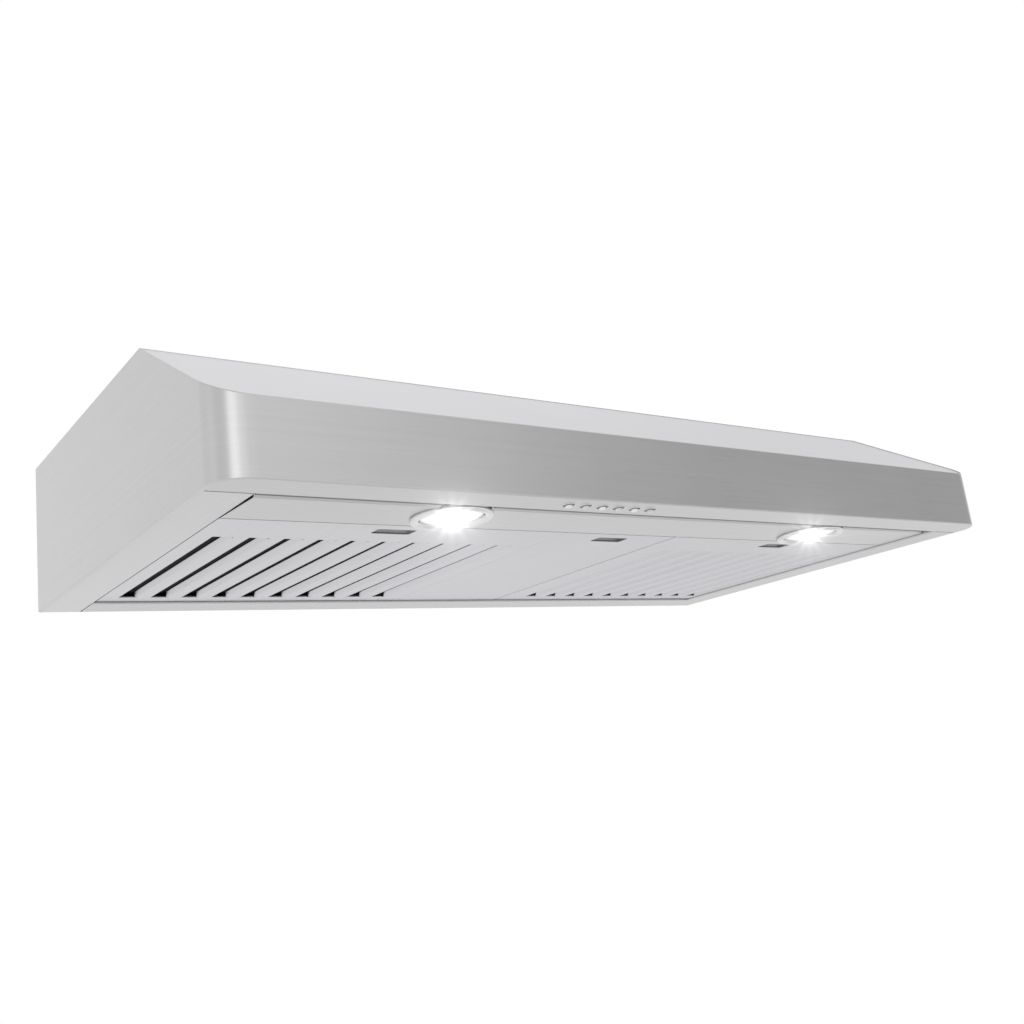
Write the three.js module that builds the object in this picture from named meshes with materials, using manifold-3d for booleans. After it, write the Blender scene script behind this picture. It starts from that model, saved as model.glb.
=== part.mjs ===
// Under cabinet range hood, millimetres, +Z up, +X to the hood's right, +Y towards the wall.
// The origin is on the top face, on the centre line, at the rear row of fixing screws.
import * as THREE from 'three';
import { mergeVertices } from 'three/addons/utils/BufferGeometryUtils.js';
import Module from 'manifold-3d';

const wasm = await Module();
wasm.setup();

// ---------------------------------------------------------------- driving dimensions
const WIDTH = 900;
const DEPTH = 475;
const HEIGHT = 148;
const TOP_DEPTH = 330; // flat top, from the wall to the start of the slope
const BAND_HEIGHT = 60; // upright front band
const CORNER_RADIUS = 28;
const SHEET = 1;
const GAP = 0.3;
const SCREW_LINE = 30; // rear row of fixing screws, from the wall

const FLANGE_WIDTH = 40; // folded-in bottom flange of each side
const RAIL_WIDTH = 40; // rear bottom rail
const LIP_WIDTH = 35; // front strip that carries the buttons
const RECESS = 2; // light panel and filters, above the bottom plane

const LIGHT_PANEL_REAR = 366; // from the wall
const LIGHT_PANEL_FRONT = 433;
const LIGHT_PANEL_LEFT_GAP = 5.6;
const LAMPS = [['left', -221], ['right', 238]]; // the pair sits a little right of the middle
const LAMP_FROM_WALL = 400.5;
const LAMP_RADIUS = 35.3;

const FILTER_REAR = 43.5; // from the wall
const FILTER_FRONT = 364.5;
const FILTER_HEIGHT = 10;
const CENTRE_PANEL_WIDTH = 141.4;
const PANEL_GAP = 0.6;
const SLOT_COUNT = 10;
const SLOT_PITCH = 31;
const SLOT_WIDTH = 11.7; // clear width between a strip's edge and the next strip's lance
const SLOT_REAR = 62; // from the wall
const SLOT_FRONT = 310;
const LANCE_RADIUS = 2.5;
const LANCE_HEIGHT = 4;
const LEFT_SLOT_MARGIN = 19.5; // filter's left edge to its first slot
const RIGHT_SLOT_MARGIN = 35;

const PULL_WIDTH = 38; // finger opening of each latch
const PULL_REAR = 337;
const PULL_FRONT = 352;
const PULL_X = 244;
const BOLT_END = 365.6; // just short of the light panel's strike slots, from the wall

const BUTTON_COUNT = 6;
const BUTTON_PITCH = 18.4;
const BUTTON_CENTRE_X = -96;
const BUTTON_FROM_WALL = 457.5;
const BUTTON_RADIUS = 4.7;

const DUCT_RADIUS = 74.5;
const DUCT_FROM_WALL = 120;
const DUCT_HEIGHT = 40;
const DAMPER_ROD_Z = 12;
const FLAP_RADIUS = 72.4;

const SCROLL_HALF_WIDTH = 56;
const SCROLL_TOP_Z = -3;
const FAN_FROM_WALL = 140;
const FAN_Z = -72;
const WHEEL_RADIUS = 46;
const WHEEL_HALF_WIDTH = 50;
const SHAFT_RADIUS = 4;

// Facets round a full turn
const FINE = 32;
const MEDIUM = 20;
const SMALL = 12;
const TINY = 8;

// ---------------------------------------------------------------- derived places
const HALF = WIDTH / 2;
const WALL_Y = SCREW_LINE;
const BOTTOM = -HEIGHT;
const fromWall = (distance) => WALL_Y - distance;
const FRONT_Y = fromWall(DEPTH);
const SLOPE_DROP = HEIGHT - BAND_HEIGHT;
const slopeZ = (distance) => -(distance - TOP_DEPTH) * SLOPE_DROP / (DEPTH - TOP_DEPTH);
const INSET = SHEET + GAP; // from an outer face to what lies inside the sheet
const PANEL_Z = BOTTOM + RECESS;
const DUCT_Y = fromWall(DUCT_FROM_WALL);
const FAN_Y = fromWall(FAN_FROM_WALL);

// ---------------------------------------------------------------- materials
const steel = new THREE.MeshStandardMaterial({ color: 0xc4c4c6, roughness: 0.38, metalness: 0.9 });
const galvanised = new THREE.MeshStandardMaterial({ color: 0x9ea3a6, roughness: 0.5, metalness: 0.8 });
const chrome = new THREE.MeshStandardMaterial({ color: 0xe6e6e8, roughness: 0.08, metalness: 1 });
const frosted = new THREE.MeshStandardMaterial({ color: 0xffffff, roughness: 0.4, metalness: 0 });
const aluminium = new THREE.MeshStandardMaterial({ color: 0x8f9295, roughness: 0.45, metalness: 0.8 });
const darkPlastic = new THREE.MeshStandardMaterial({ color: 0x202224, roughness: 0.6, metalness: 0 });
const palePlastic = new THREE.MeshStandardMaterial({ color: 0xd8d8d2, roughness: 0.55, metalness: 0 });
const brass = new THREE.MeshStandardMaterial({ color: 0xb08d4a, roughness: 0.35, metalness: 0.9 });

const hood = new THREE.Group();

function add(name, geometry, material) {
  const mesh = new THREE.Mesh(geometry, material);
  mesh.name = name;
  hood.add(mesh);
  return mesh;
}

// ---------------------------------------------------------------- solids
function solid(geometry) {
  const bare = geometry.index ? geometry.toNonIndexed() : geometry.clone();
  bare.deleteAttribute('normal');
  bare.deleteAttribute('uv');
  const merged = mergeVertices(bare, 1e-4);
  return new wasm.Manifold(new wasm.Mesh({
    numProp: 3,
    vertProperties: new Float32Array(merged.attributes.position.array),
    triVerts: new Uint32Array(merged.index.array),
  }));
}

function surface(body) {
  const mesh = body.getMesh();
  const geometry = new THREE.BufferGeometry();
  geometry.setAttribute('position', new THREE.BufferAttribute(new Float32Array(mesh.vertProperties), 3));
  geometry.setIndex(new THREE.BufferAttribute(new Uint32Array(mesh.triVerts), 1));
  geometry.computeVertexNormals();
  return geometry;
}

function join(...geometries) {
  return surface(geometries.map(solid).reduce((sum, next) => sum.add(next)));
}

function cut(geometry, ...tools) {
  return surface(tools.map(solid).reduce((rest, tool) => rest.subtract(tool), solid(geometry)));
}

function overlapOf(first, second) {
  return surface(solid(first).intersect(solid(second)));
}

// A box given by its lowest and highest corners.
function box(low, high) {
  const size = high.map((value, axis) => value - low[axis]);
  const centre = high.map((value, axis) => (value + low[axis]) / 2);
  return new THREE.BoxGeometry(...size).translate(...centre);
}

function outline(points, holes = []) {
  const shape = new THREE.Shape(points.map(([u, v]) => new THREE.Vector2(u, v)));
  for (const hole of holes) {
    shape.holes.push(new THREE.Path(hole.map(([u, v]) => new THREE.Vector2(u, v))));
  }
  return shape;
}

function extrude(shape, length) {
  return new THREE.ExtrudeGeometry(shape, { depth: length, bevelEnabled: false, curveSegments: 24 });
}

// An XY outline, raised from lowZ to highZ.
function prismZ(points, lowZ, highZ, holes) {
  return extrude(outline(points, holes), highZ - lowZ).translate(0, 0, lowZ);
}

// A YZ outline, run from lowX to highX.
function prismX(points, lowX, highX, holes) {
  const turn = new THREE.Matrix4().makeBasis(
    new THREE.Vector3(0, 1, 0),
    new THREE.Vector3(0, 0, 1),
    new THREE.Vector3(1, 0, 0),
  );
  return extrude(outline(points, holes), highX - lowX).applyMatrix4(turn).translate(lowX, 0, 0);
}

// An XZ outline, run from highY down to lowY.
function prismY(points, lowY, highY) {
  const turn = new THREE.Matrix4().makeBasis(
    new THREE.Vector3(1, 0, 0),
    new THREE.Vector3(0, 0, 1),
    new THREE.Vector3(0, -1, 0),
  );
  return extrude(outline(points), highY - lowY).applyMatrix4(turn).translate(0, highY, 0);
}

function circle(radius, segments, centreU = 0, centreV = 0) {
  return Array.from({ length: segments }, (_, i) => {
    const angle = (2 * Math.PI * i) / segments;
    return [centreU + radius * Math.cos(angle), centreV + radius * Math.sin(angle)];
  });
}

// A ring or disc turned about Z from a closed [radius, z] profile.
function turned(profile, segments) {
  const points = [...profile, profile[0]].map(([radius, z]) => new THREE.Vector2(radius, z));
  return new THREE.LatheGeometry(points, segments).rotateX(Math.PI / 2);
}

function turnedAboutX(profile, segments) {
  return turned(profile, segments).rotateY(Math.PI / 2);
}

// Plan outline of the canopy, open at the wall side, at a given inset from the outer face.
function planCorner(side, inset, segments = 7) {
  const radius = CORNER_RADIUS - inset;
  const centreX = side * (HALF - CORNER_RADIUS);
  const centreY = FRONT_Y + CORNER_RADIUS;
  return Array.from({ length: segments + 1 }, (_, i) => {
    const angle = (Math.PI / 2) * (i / segments);
    return [centreX + side * radius * Math.cos(angle), centreY - radius * Math.sin(angle)];
  });
}

function planPath(inset, rearY) {
  return [
    [-HALF + inset, rearY],
    ...planCorner(-1, inset),
    ...planCorner(1, inset).reverse(),
    [HALF - inset, rearY],
  ];
}

// ---------------------------------------------------------------- canopy
const CLEAR = 10; // how far a cutting tool reaches past what it cuts

// Everything above the sloped front.
function slopeWedge() {
  const beyond = DEPTH + CLEAR;
  return prismX([
    [fromWall(TOP_DEPTH), 0],
    [fromWall(beyond), slopeZ(beyond)],
    [fromWall(beyond), CLEAR],
    [fromWall(TOP_DEPTH), CLEAR],
  ].reverse(), -HALF - CLEAR, HALF + CLEAR);
}

function canopyShell() {
  const outer = planPath(0, WALL_Y);
  const inner = planPath(SHEET, WALL_Y);
  return cut(prismZ([...outer, ...inner.reverse()], BOTTOM, 0), slopeWedge());
}

function slopePanel() {
  const thick = SHEET * Math.hypot(SLOPE_DROP, DEPTH - TOP_DEPTH) / (DEPTH - TOP_DEPTH);
  const slab = prismX([
    [fromWall(TOP_DEPTH), 0],
    [fromWall(TOP_DEPTH), -thick],
    [FRONT_Y, slopeZ(DEPTH) - thick],
    [FRONT_Y, slopeZ(DEPTH)],
  ].reverse(), -HALF, HALF);
  const plan = prismZ(planPath(INSET, fromWall(TOP_DEPTH) + 5), BOTTOM, 5);
  return overlapOf(slab, plan);
}

// A keyhole for a hanging screw: a round entry and a narrow slot towards the wall.
function keyhole(x, y) {
  const entry = prismZ(circle(5.5, TINY, x, y - 12), -5, 5);
  return [entry, box([x - 2.8, y - 12, -5], [x + 2.8, y + 3, 5])];
}

const COLLAR_SCREW_RADIUS = 81;
const COLLAR_SCREW_ANGLES = [45, 135, 225, 315];
const GLAND_X = 330;
const GLAND_Y = fromWall(42);

function collarScrewPlaces() {
  return COLLAR_SCREW_ANGLES.map((degrees) => {
    const angle = THREE.MathUtils.degToRad(degrees);
    return [COLLAR_SCREW_RADIUS * Math.cos(angle), DUCT_Y + COLLAR_SCREW_RADIUS * Math.sin(angle)];
  });
}

function topPlate() {
  const plate = box([-HALF + INSET, fromWall(TOP_DEPTH) + GAP, -SHEET], [HALF - INSET, WALL_Y, 0]);
  const keyholes = [-380, 380].flatMap((x) => [0, -230].flatMap((y) => keyhole(x, y)));
  return cut(
    plate,
    prismZ(circle(DUCT_RADIUS + 0.9, FINE, 0, DUCT_Y), -5, 5),
    prismZ(circle(11.4, SMALL, GLAND_X, GLAND_Y), -5, 5),
    ...collarScrewPlaces().map(([x, y]) => prismZ(circle(2.6, TINY, x, y), -5, 5)),
    ...keyholes,
  );
}

// The back plate has a pressed rib round the rectangular rear-duct knock-out.
function backPlate() {
  const low = [-HALF + INSET, WALL_Y - SHEET, BOTTOM];
  const high = [HALF - INSET, WALL_Y, -INSET];
  const rib = cut(
    box([-140, WALL_Y - SHEET - 1.5, -112], [140, WALL_Y - SHEET + 0.2, -8]),
    box([-130, WALL_Y - 10, -102], [130, WALL_Y, -18]),
  );
  return join(box(low, high), rib);
}

function bottomFlange(side) {
  const inner = side * (HALF - FLANGE_WIDTH);
  const outer = side * (HALF - INSET);
  const [x0, x1] = [Math.min(inner, outer), Math.max(inner, outer)];
  const rearY = WALL_Y - INSET;
  const frontY = fromWall(DEPTH - LIP_WIDTH) + GAP;
  const web = [Math.min(inner, inner + side * SHEET), Math.max(inner, inner + side * SHEET)];
  return join(
    box([x0, frontY, BOTTOM], [x1, rearY, BOTTOM + SHEET]),
    box([web[0], frontY, BOTTOM], [web[1], rearY, BOTTOM + 14]),
  );
}

function rearRail() {
  const half = HALF - FLANGE_WIDTH - GAP;
  const frontY = fromWall(RAIL_WIDTH);
  return join(
    box([-half, frontY, BOTTOM], [half, WALL_Y - INSET, BOTTOM + SHEET]),
    box([-half, frontY, BOTTOM], [half, frontY + SHEET, BOTTOM + 3]),
  );
}

// ---------------------------------------------------------------- front lip and buttons
const LEDGE_RISE = 4; // the ledge behind the lip, above the bottom plane
const LEDGE_DEPTH = 8;
const LIP_REAR_Y = fromWall(DEPTH - LIP_WIDTH);

function buttonPlaces() {
  return Array.from({ length: BUTTON_COUNT }, (_, i) => {
    const x = BUTTON_CENTRE_X + (i - (BUTTON_COUNT - 1) / 2) * BUTTON_PITCH;
    return [x, fromWall(BUTTON_FROM_WALL)];
  });
}

function frontLip() {
  const half = HALF - FLANGE_WIDTH - 2;
  const sheet = prismZ(planPath(INSET, LIP_REAR_Y), BOTTOM, BOTTOM + SHEET);
  const ledgeTop = BOTTOM + LEDGE_RISE + SHEET;
  const web = box([-half, LIP_REAR_Y - SHEET, BOTTOM], [half, LIP_REAR_Y, ledgeTop]);
  const ledge = box(
    [-half, LIP_REAR_Y - SHEET, BOTTOM + LEDGE_RISE],
    [half, LIP_REAR_Y + LEDGE_DEPTH, ledgeTop],
  );
  const holes = buttonPlaces().map(([x, y]) => {
    const hole = circle(BUTTON_RADIUS + 0.6, SMALL, x, y);
    return prismZ(hole, BOTTOM - CLEAR, BOTTOM + LEDGE_RISE);
  });
  return cut(join(sheet, web, ledge), ...holes);
}

const BUTTON_PROUD = 2.4;
const STEM_RADIUS = 2;
const STEM_TOP_Z = BOTTOM + 9;

// A domed cap on a stem that runs up into the switch block.
function button(x, y) {
  const face = BOTTOM - BUTTON_PROUD;
  const shoulder = BOTTOM + 2.6;
  return turned([
    [0, face],
    [BUTTON_RADIUS * 0.85, face + 0.6],
    [BUTTON_RADIUS, face + 1.4],
    [BUTTON_RADIUS, shoulder],
    [STEM_RADIUS, shoulder],
    [STEM_RADIUS, STEM_TOP_Z],
    [0, STEM_TOP_Z],
  ], SMALL).translate(x, y, 0);
}

const SWITCH_LOW_Z = BOTTOM + 5;
const SWITCH_HIGH_Z = BOTTOM + 22;

function switchBlock() {
  const half = (BUTTON_PITCH * BUTTON_COUNT + 8) / 2;
  const y = fromWall(BUTTON_FROM_WALL);
  const body = box(
    [BUTTON_CENTRE_X - half, y - 11, SWITCH_LOW_Z],
    [BUTTON_CENTRE_X + half, y + 11, SWITCH_HIGH_Z],
  );
  const plug = box(
    [BUTTON_CENTRE_X + half - 1, y - 6, SWITCH_LOW_Z + 3],
    [BUTTON_CENTRE_X + half + 6, y + 6, SWITCH_HIGH_Z - 4],
  );
  const bores = buttonPlaces().map(([x]) => {
    const bore = circle(STEM_RADIUS + 0.6, TINY, x, y);
    return prismZ(bore, SWITCH_LOW_Z - CLEAR, STEM_TOP_Z + 4);
  });
  return cut(join(body, plug), ...bores);
}

// ---------------------------------------------------------------- light panel
const LIGHT_LEFT_X = -HALF + FLANGE_WIDTH + LIGHT_PANEL_LEFT_GAP;
const LIGHT_RIGHT_X = HALF - FLANGE_WIDTH - 1;
const BOLT_LOW_Z = BOTTOM + 4.4;
const BOLT_HIGH_Z = BOTTOM + 5.8;
const BOLT_HALF_WIDTH = 8;

function lightPanel() {
  const sheet = box(
    [LIGHT_LEFT_X, fromWall(LIGHT_PANEL_FRONT), PANEL_Z],
    [LIGHT_RIGHT_X, fromWall(LIGHT_PANEL_REAR), PANEL_Z + SHEET],
  );
  const rearWeb = box(
    [LIGHT_LEFT_X, fromWall(LIGHT_PANEL_REAR) - SHEET, PANEL_Z],
    [LIGHT_RIGHT_X, fromWall(LIGHT_PANEL_REAR), PANEL_Z + 14],
  );
  const lampHoles = LAMPS.map(([, x]) => {
    const hole = circle(31, FINE, x, fromWall(LAMP_FROM_WALL));
    return prismZ(hole, PANEL_Z - CLEAR, PANEL_Z + CLEAR);
  });
  const strikeSlots = [-PULL_X, 0, PULL_X].map((x) => box(
    [x - BOLT_HALF_WIDTH - 1, fromWall(LIGHT_PANEL_REAR) - 3, BOLT_LOW_Z - 0.6],
    [x + BOLT_HALF_WIDTH + 1, fromWall(LIGHT_PANEL_REAR) + 3, BOLT_HIGH_Z + 0.8],
  ));
  return cut(join(sheet, rearWeb), ...lampHoles, ...strikeSlots);
}

function lightBezel(x) {
  const face = BOTTOM - 2;
  return turned([
    [27, face + 0.6],
    [28.6, face],
    [LAMP_RADIUS, face],
    [LAMP_RADIUS, PANEL_Z - GAP],
    [30, PANEL_Z - GAP],
    [30, BOTTOM + 13],
    [27, BOTTOM + 13],
  ], FINE).translate(x, fromWall(LAMP_FROM_WALL), 0);
}

function lightLens(x) {
  return turned([
    [0, BOTTOM],
    [26.4, BOTTOM + 1],
    [26.4, BOTTOM + 4],
    [0, BOTTOM + 4],
  ], MEDIUM).translate(x, fromWall(LAMP_FROM_WALL), 0);
}

// LED module with a finned heat sink that stands up through the bezel's tube.
function ledModule(x) {
  const profile = [[0, BOTTOM + 5], [25, BOTTOM + 5]];
  for (let groove = 0; groove < 2; groove += 1) {
    const z = BOTTOM + 12 + groove * 7;
    profile.push([25, z], [18, z], [18, z + 3], [25, z + 3]);
  }
  profile.push([25, BOTTOM + 27], [0, BOTTOM + 27]);
  return turned(profile, MEDIUM).translate(x, fromWall(LAMP_FROM_WALL), 0);
}

// ---------------------------------------------------------------- filters
const CENTRE_HALF = CENTRE_PANEL_WIDTH / 2;
const SIDE_INNER_X = CENTRE_HALF + PANEL_GAP;
const SIDE_OUTER_X = HALF - FLANGE_WIDTH - 1;
const PAN_REAR_Y = fromWall(FILTER_REAR);
const PAN_FRONT_Y = fromWall(FILTER_FRONT);
const PAN_TOP_Z = PANEL_Z + FILTER_HEIGHT;
const SPRING_SEAT = 320; // tab behind each latch spring, from the wall

// An open-topped pan with hook tongues at the rear and a finger opening at the front.
function pan(leftX, rightX, pullX, tongueXs) {
  const tray = cut(
    box([leftX, PAN_FRONT_Y, PANEL_Z], [rightX, PAN_REAR_Y, PAN_TOP_Z]),
    box(
      [leftX + SHEET, PAN_FRONT_Y + SHEET, PANEL_Z + SHEET],
      [rightX - SHEET, PAN_REAR_Y - SHEET, PAN_TOP_Z + CLEAR],
    ),
  );
  const tongues = tongueXs.map((x) => box(
    [x - 14, PAN_REAR_Y - SHEET, BOTTOM + 4.4],
    [x + 14, PAN_REAR_Y + 10, BOTTOM + 5.4],
  ));
  const seat = box(
    [pullX - 8, fromWall(SPRING_SEAT), PANEL_Z],
    [pullX + 8, fromWall(SPRING_SEAT) + SHEET, PAN_TOP_Z],
  );
  const finger = box(
    [pullX - PULL_WIDTH / 2, fromWall(PULL_FRONT), PANEL_Z - 5],
    [pullX + PULL_WIDTH / 2, fromWall(PULL_REAR), PANEL_Z + SHEET + 0.1],
  );
  const boltHole = box(
    [pullX - BOLT_HALF_WIDTH - 1, PAN_FRONT_Y - 5, BOLT_LOW_Z - 0.6],
    [pullX + BOLT_HALF_WIDTH + 1, PAN_FRONT_Y + 5, BOLT_HIGH_Z + 0.8],
  );
  return cut(join(tray, ...tongues, seat), finger, boltHole);
}

// The edge of one strip, turned up along a slot: a quarter round and a short upright leg.
function lance(hingeX) {
  const steps = 3;
  const arc = (radius) => Array.from({ length: steps + 1 }, (_, i) => {
    const angle = -Math.PI / 2 - (Math.PI / 2) * (i / steps);
    return [hingeX + radius * Math.cos(angle), PANEL_Z + LANCE_RADIUS + radius * Math.sin(angle)];
  });
  const legTop = PANEL_Z + LANCE_HEIGHT;
  const profile = [
    [hingeX + 0.5, PANEL_Z],
    ...arc(LANCE_RADIUS),
    [hingeX - LANCE_RADIUS, legTop],
    [hingeX - LANCE_RADIUS + SHEET, legTop],
    ...arc(LANCE_RADIUS - SHEET).reverse(),
    [hingeX + 0.5, PANEL_Z + SHEET],
  ];
  return prismY(profile.reverse(), fromWall(SLOT_FRONT), fromWall(SLOT_REAR));
}

function slottedPan(leftX, rightX, pullX, firstSlotX) {
  const tongueXs = [leftX + 60, rightX - 60];
  const slots = Array.from({ length: SLOT_COUNT }, (_, i) => firstSlotX + i * SLOT_PITCH);
  const openings = slots.map((x) => box(
    [x, fromWall(SLOT_FRONT), PANEL_Z - 5],
    [x + SLOT_WIDTH + LANCE_RADIUS, fromWall(SLOT_REAR), PANEL_Z + SHEET + 0.5],
  ));
  const lances = slots.map((x) => lance(x + SLOT_WIDTH + LANCE_RADIUS));
  return join(cut(pan(leftX, rightX, pullX, tongueXs), ...openings), ...lances);
}

// Grease mesh pad, with a window for the latch.
function meshPad(leftX, rightX, pullX) {
  const pad = box(
    [leftX + 1.6, fromWall(SPRING_SEAT) + 3, PANEL_Z + 5.2],
    [rightX - 1.6, PAN_REAR_Y - 1.6, PANEL_Z + 8.6],
  );
  const latchWindow = box(
    [pullX - 12, fromWall(SPRING_SEAT) - 5, PANEL_Z],
    [pullX + 12, fromWall(SPRING_SEAT) + 6, PAN_TOP_Z],
  );
  return cut(pad, latchWindow);
}

// The pull is a cup above the finger opening, with a bolt through the pan's front wall.
function latch(x) {
  const low = PANEL_Z + SHEET + GAP;
  const rear = fromWall(PULL_REAR - 1);
  const front = fromWall(PULL_FRONT + 1);
  const half = PULL_WIDTH / 2 + 1;
  const block = box([x - half, front, low], [x + half, rear, PAN_TOP_Z]);
  const hollow = prismX([
    [front + SHEET, low - 1],
    [front + SHEET, PAN_TOP_Z - SHEET],
    [rear - 6, PAN_TOP_Z - SHEET],
    [rear - SHEET, low + 0.6],
    [rear - SHEET, low - 1],
  ].reverse(), x - half + SHEET, x + half - SHEET);
  const bolt = box(
    [x - BOLT_HALF_WIDTH, fromWall(BOLT_END), BOLT_LOW_Z],
    [x + BOLT_HALF_WIDTH, front + SHEET / 2, BOLT_HIGH_Z],
  );
  return join(cut(block, hollow), bolt);
}

// Compression spring between the pan's tab and the pull.
function latchSpring(x) {
  const turns = 4;
  const perTurn = 6;
  const radius = 2.6;
  const wire = 0.4;
  const start = fromWall(SPRING_SEAT) - wire - GAP;
  const end = fromWall(PULL_REAR - 1) + wire + GAP;
  const points = Array.from({ length: turns * perTurn + 1 }, (_, i) => {
    const share = i / (turns * perTurn);
    const angle = share * turns * 2 * Math.PI;
    return new THREE.Vector3(
      x + radius * Math.cos(angle),
      start + (end - start) * share,
      PANEL_Z + 6 + radius * Math.sin(angle),
    );
  });
  const path = new THREE.CatmullRomCurve3(points);
  return new THREE.ExtrudeGeometry(outline(circle(wire, 4)), { steps: turns * perTurn, extrudePath: path });
}

// ---------------------------------------------------------------- blower
const TONGUE_ANGLE = 0.97; // radians above the horizontal, on the room side of the fan
const THROAT_FRONT = FAN_FROM_WALL + 28;
const TONGUE_RADIUS = 28 / Math.cos(TONGUE_ANGLE);
const SPIRAL_GROWTH = 4.4; // radius gained per radian from the tongue
const SPIRAL_STEPS = 20;

// The volute starts at the tongue, passes the room side and the bottom, and ends at the wall side.
function voluteLine(offset) {
  const sweep = TONGUE_ANGLE + Math.PI;
  const points = Array.from({ length: SPIRAL_STEPS + 1 }, (_, i) => {
    const turnedBy = sweep * (i / SPIRAL_STEPS);
    const radius = TONGUE_RADIUS + SPIRAL_GROWTH * turnedBy + offset;
    const angle = TONGUE_ANGLE - turnedBy;
    return [FAN_Y - radius * Math.cos(angle), FAN_Z + radius * Math.sin(angle)];
  });
  const [lastY] = points[points.length - 1];
  return [[points[0][0], SCROLL_TOP_Z], ...points, [lastY, SCROLL_TOP_Z]];
}

function scrollWrap() {
  const half = SCROLL_HALF_WIDTH - SHEET - GAP;
  const ring = [...voluteLine(1.2), ...voluteLine(0).reverse()];
  return prismX(ring.reverse(), -half, half);
}

function scrollSide(side) {
  const hole = circle(42.5, MEDIUM, FAN_Y, FAN_Z);
  const x0 = side * (SCROLL_HALF_WIDTH - SHEET);
  const x1 = side * SCROLL_HALF_WIDTH;
  return prismX(voluteLine(4), Math.min(x0, x1), Math.max(x0, x1), [hole]);
}

// Bell mouth that leads air into the wheel.
function inletRing(side) {
  const face = SCROLL_HALF_WIDTH + GAP;
  const ring = turnedAboutX([
    [39, face - 5],
    [41, face - 5],
    [41, face],
    [48, face],
    [48, face + 1.2],
    [42, face + 4],
  ], MEDIUM);
  return (side < 0 ? ring.rotateZ(Math.PI) : ring).translate(0, FAN_Y, FAN_Z);
}

function impeller() {
  const blades = 20;
  const annulus = (inner, outer, x0, x1) => turnedAboutX([
    [inner, x0],
    [outer, x0],
    [outer, x1],
    [inner, x1],
  ], MEDIUM);
  const rim = (x0, x1) => annulus(37.5, WHEEL_RADIUS, x0, x1);
  const disc = annulus(11.6, WHEEL_RADIUS - 1, -0.8, 0.8);
  const bladeEnd = WHEEL_HALF_WIDTH - 1;
  const blade = prismX([[38.4, 0], [41.6, 1.2], [44.4, 4.4], [40.8, 2.2]], -bladeEnd, bladeEnd);
  const turnOf = (i) => blade.clone().rotateX((2 * Math.PI * i) / blades);
  const wheel = join(
    disc,
    rim(-WHEEL_HALF_WIDTH, -WHEEL_HALF_WIDTH + 2.5),
    rim(WHEEL_HALF_WIDTH - 2.5, WHEEL_HALF_WIDTH),
    ...Array.from({ length: blades }, (_, i) => turnOf(i)),
  );
  return wheel.translate(0, FAN_Y, FAN_Z);
}

function impellerHub() {
  return turnedAboutX([
    [SHAFT_RADIUS + GAP, -9],
    [11, -9],
    [11, 1.2],
    [15, 1.2],
    [15, 4],
    [SHAFT_RADIUS + GAP, 4],
  ], SMALL).translate(0, FAN_Y, FAN_Z);
}

function motorShaft() {
  const rod = turnedAboutX([[0, -96], [SHAFT_RADIUS, -96], [SHAFT_RADIUS, 72], [0, 72]], SMALL);
  return rod.translate(0, FAN_Y, FAN_Z);
}

const MOTOR_FACE_X = -70;
const MOTOR_LENGTH = 56;

// Motor can with rolled ends, a middle band and a blind bore for the shaft.
function motor() {
  const rear = MOTOR_FACE_X - MOTOR_LENGTH;
  return turnedAboutX([
    [0, rear],
    [26, rear],
    [33, rear + 5],
    [33, rear + 20],
    [36, rear + 20],
    [36, rear + 36],
    [33, rear + 36],
    [33, MOTOR_FACE_X - 5],
    [26, MOTOR_FACE_X],
    [SHAFT_RADIUS + GAP, MOTOR_FACE_X],
    [SHAFT_RADIUS + GAP, MOTOR_FACE_X - 28],
    [0, MOTOR_FACE_X - 28],
  ], MEDIUM).translate(0, FAN_Y, FAN_Z);
}

// Three arms from a hub plate out to feet on the side of the scroll.
function spider(side, hubX, hubRadius, boreRadius) {
  const foot = SCROLL_HALF_WIDTH + GAP;
  const hub = turnedAboutX([
    [boreRadius, hubX],
    [hubRadius, hubX],
    [hubRadius, hubX + 2],
    [boreRadius, hubX + 2],
  ], SMALL);
  const arm = box([hubX, -5, hubRadius - 2], [hubX + 2, 5, 56]);
  const leg = box([foot, -5, 54], [hubX + 2, 5, 56]);
  const arms = [0, 1, 2].flatMap((i) => {
    const turn = (2 * Math.PI * i) / 3 + Math.PI;
    return [arm.clone().rotateX(turn), leg.clone().rotateX(turn)];
  });
  const whole = join(hub, ...arms);
  return (side < 0 ? whole.rotateZ(Math.PI) : whole).translate(0, FAN_Y, FAN_Z);
}

function shaftBearing() {
  const bush = turnedAboutX([[4.4, 62], [7.4, 62], [7.4, 68], [4.4, 68]], SMALL);
  return bush.translate(0, FAN_Y, FAN_Z);
}

function runCapacitor() {
  return turnedAboutX([
    [0, -150],
    [15, -150],
    [15, -102],
    [4, -102],
    [4, -97],
    [0, -97],
  ], SMALL).translate(0, fromWall(225), -22);
}

// ---------------------------------------------------------------- duct collar and dampers
function ductCollar() {
  const inner = DUCT_RADIUS - SHEET;
  const ring = turned([
    [inner, -2.5],
    [88, -2.5],
    [88, -INSET],
    [DUCT_RADIUS, -INSET],
    [DUCT_RADIUS, DUCT_HEIGHT],
    [inner, DUCT_HEIGHT],
  ], FINE).translate(0, DUCT_Y, 0);
  const rodHole = prismX(circle(2.6, TINY, DUCT_Y, DAMPER_ROD_Z), -90, 90);
  const screwHoles = collarScrewPlaces().map(([x, y]) => prismZ(circle(2.6, TINY, x, y), -5, 1));
  return cut(ring, rodHole, ...screwHoles);
}

function collarScrew(x, y) {
  return turned([
    [0, -5.4],
    [4, -4.4],
    [4, -2.8],
    [2, -2.8],
    [2, -0.2],
    [0, -0.2],
  ], TINY).translate(x, y, 0);
}

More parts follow.
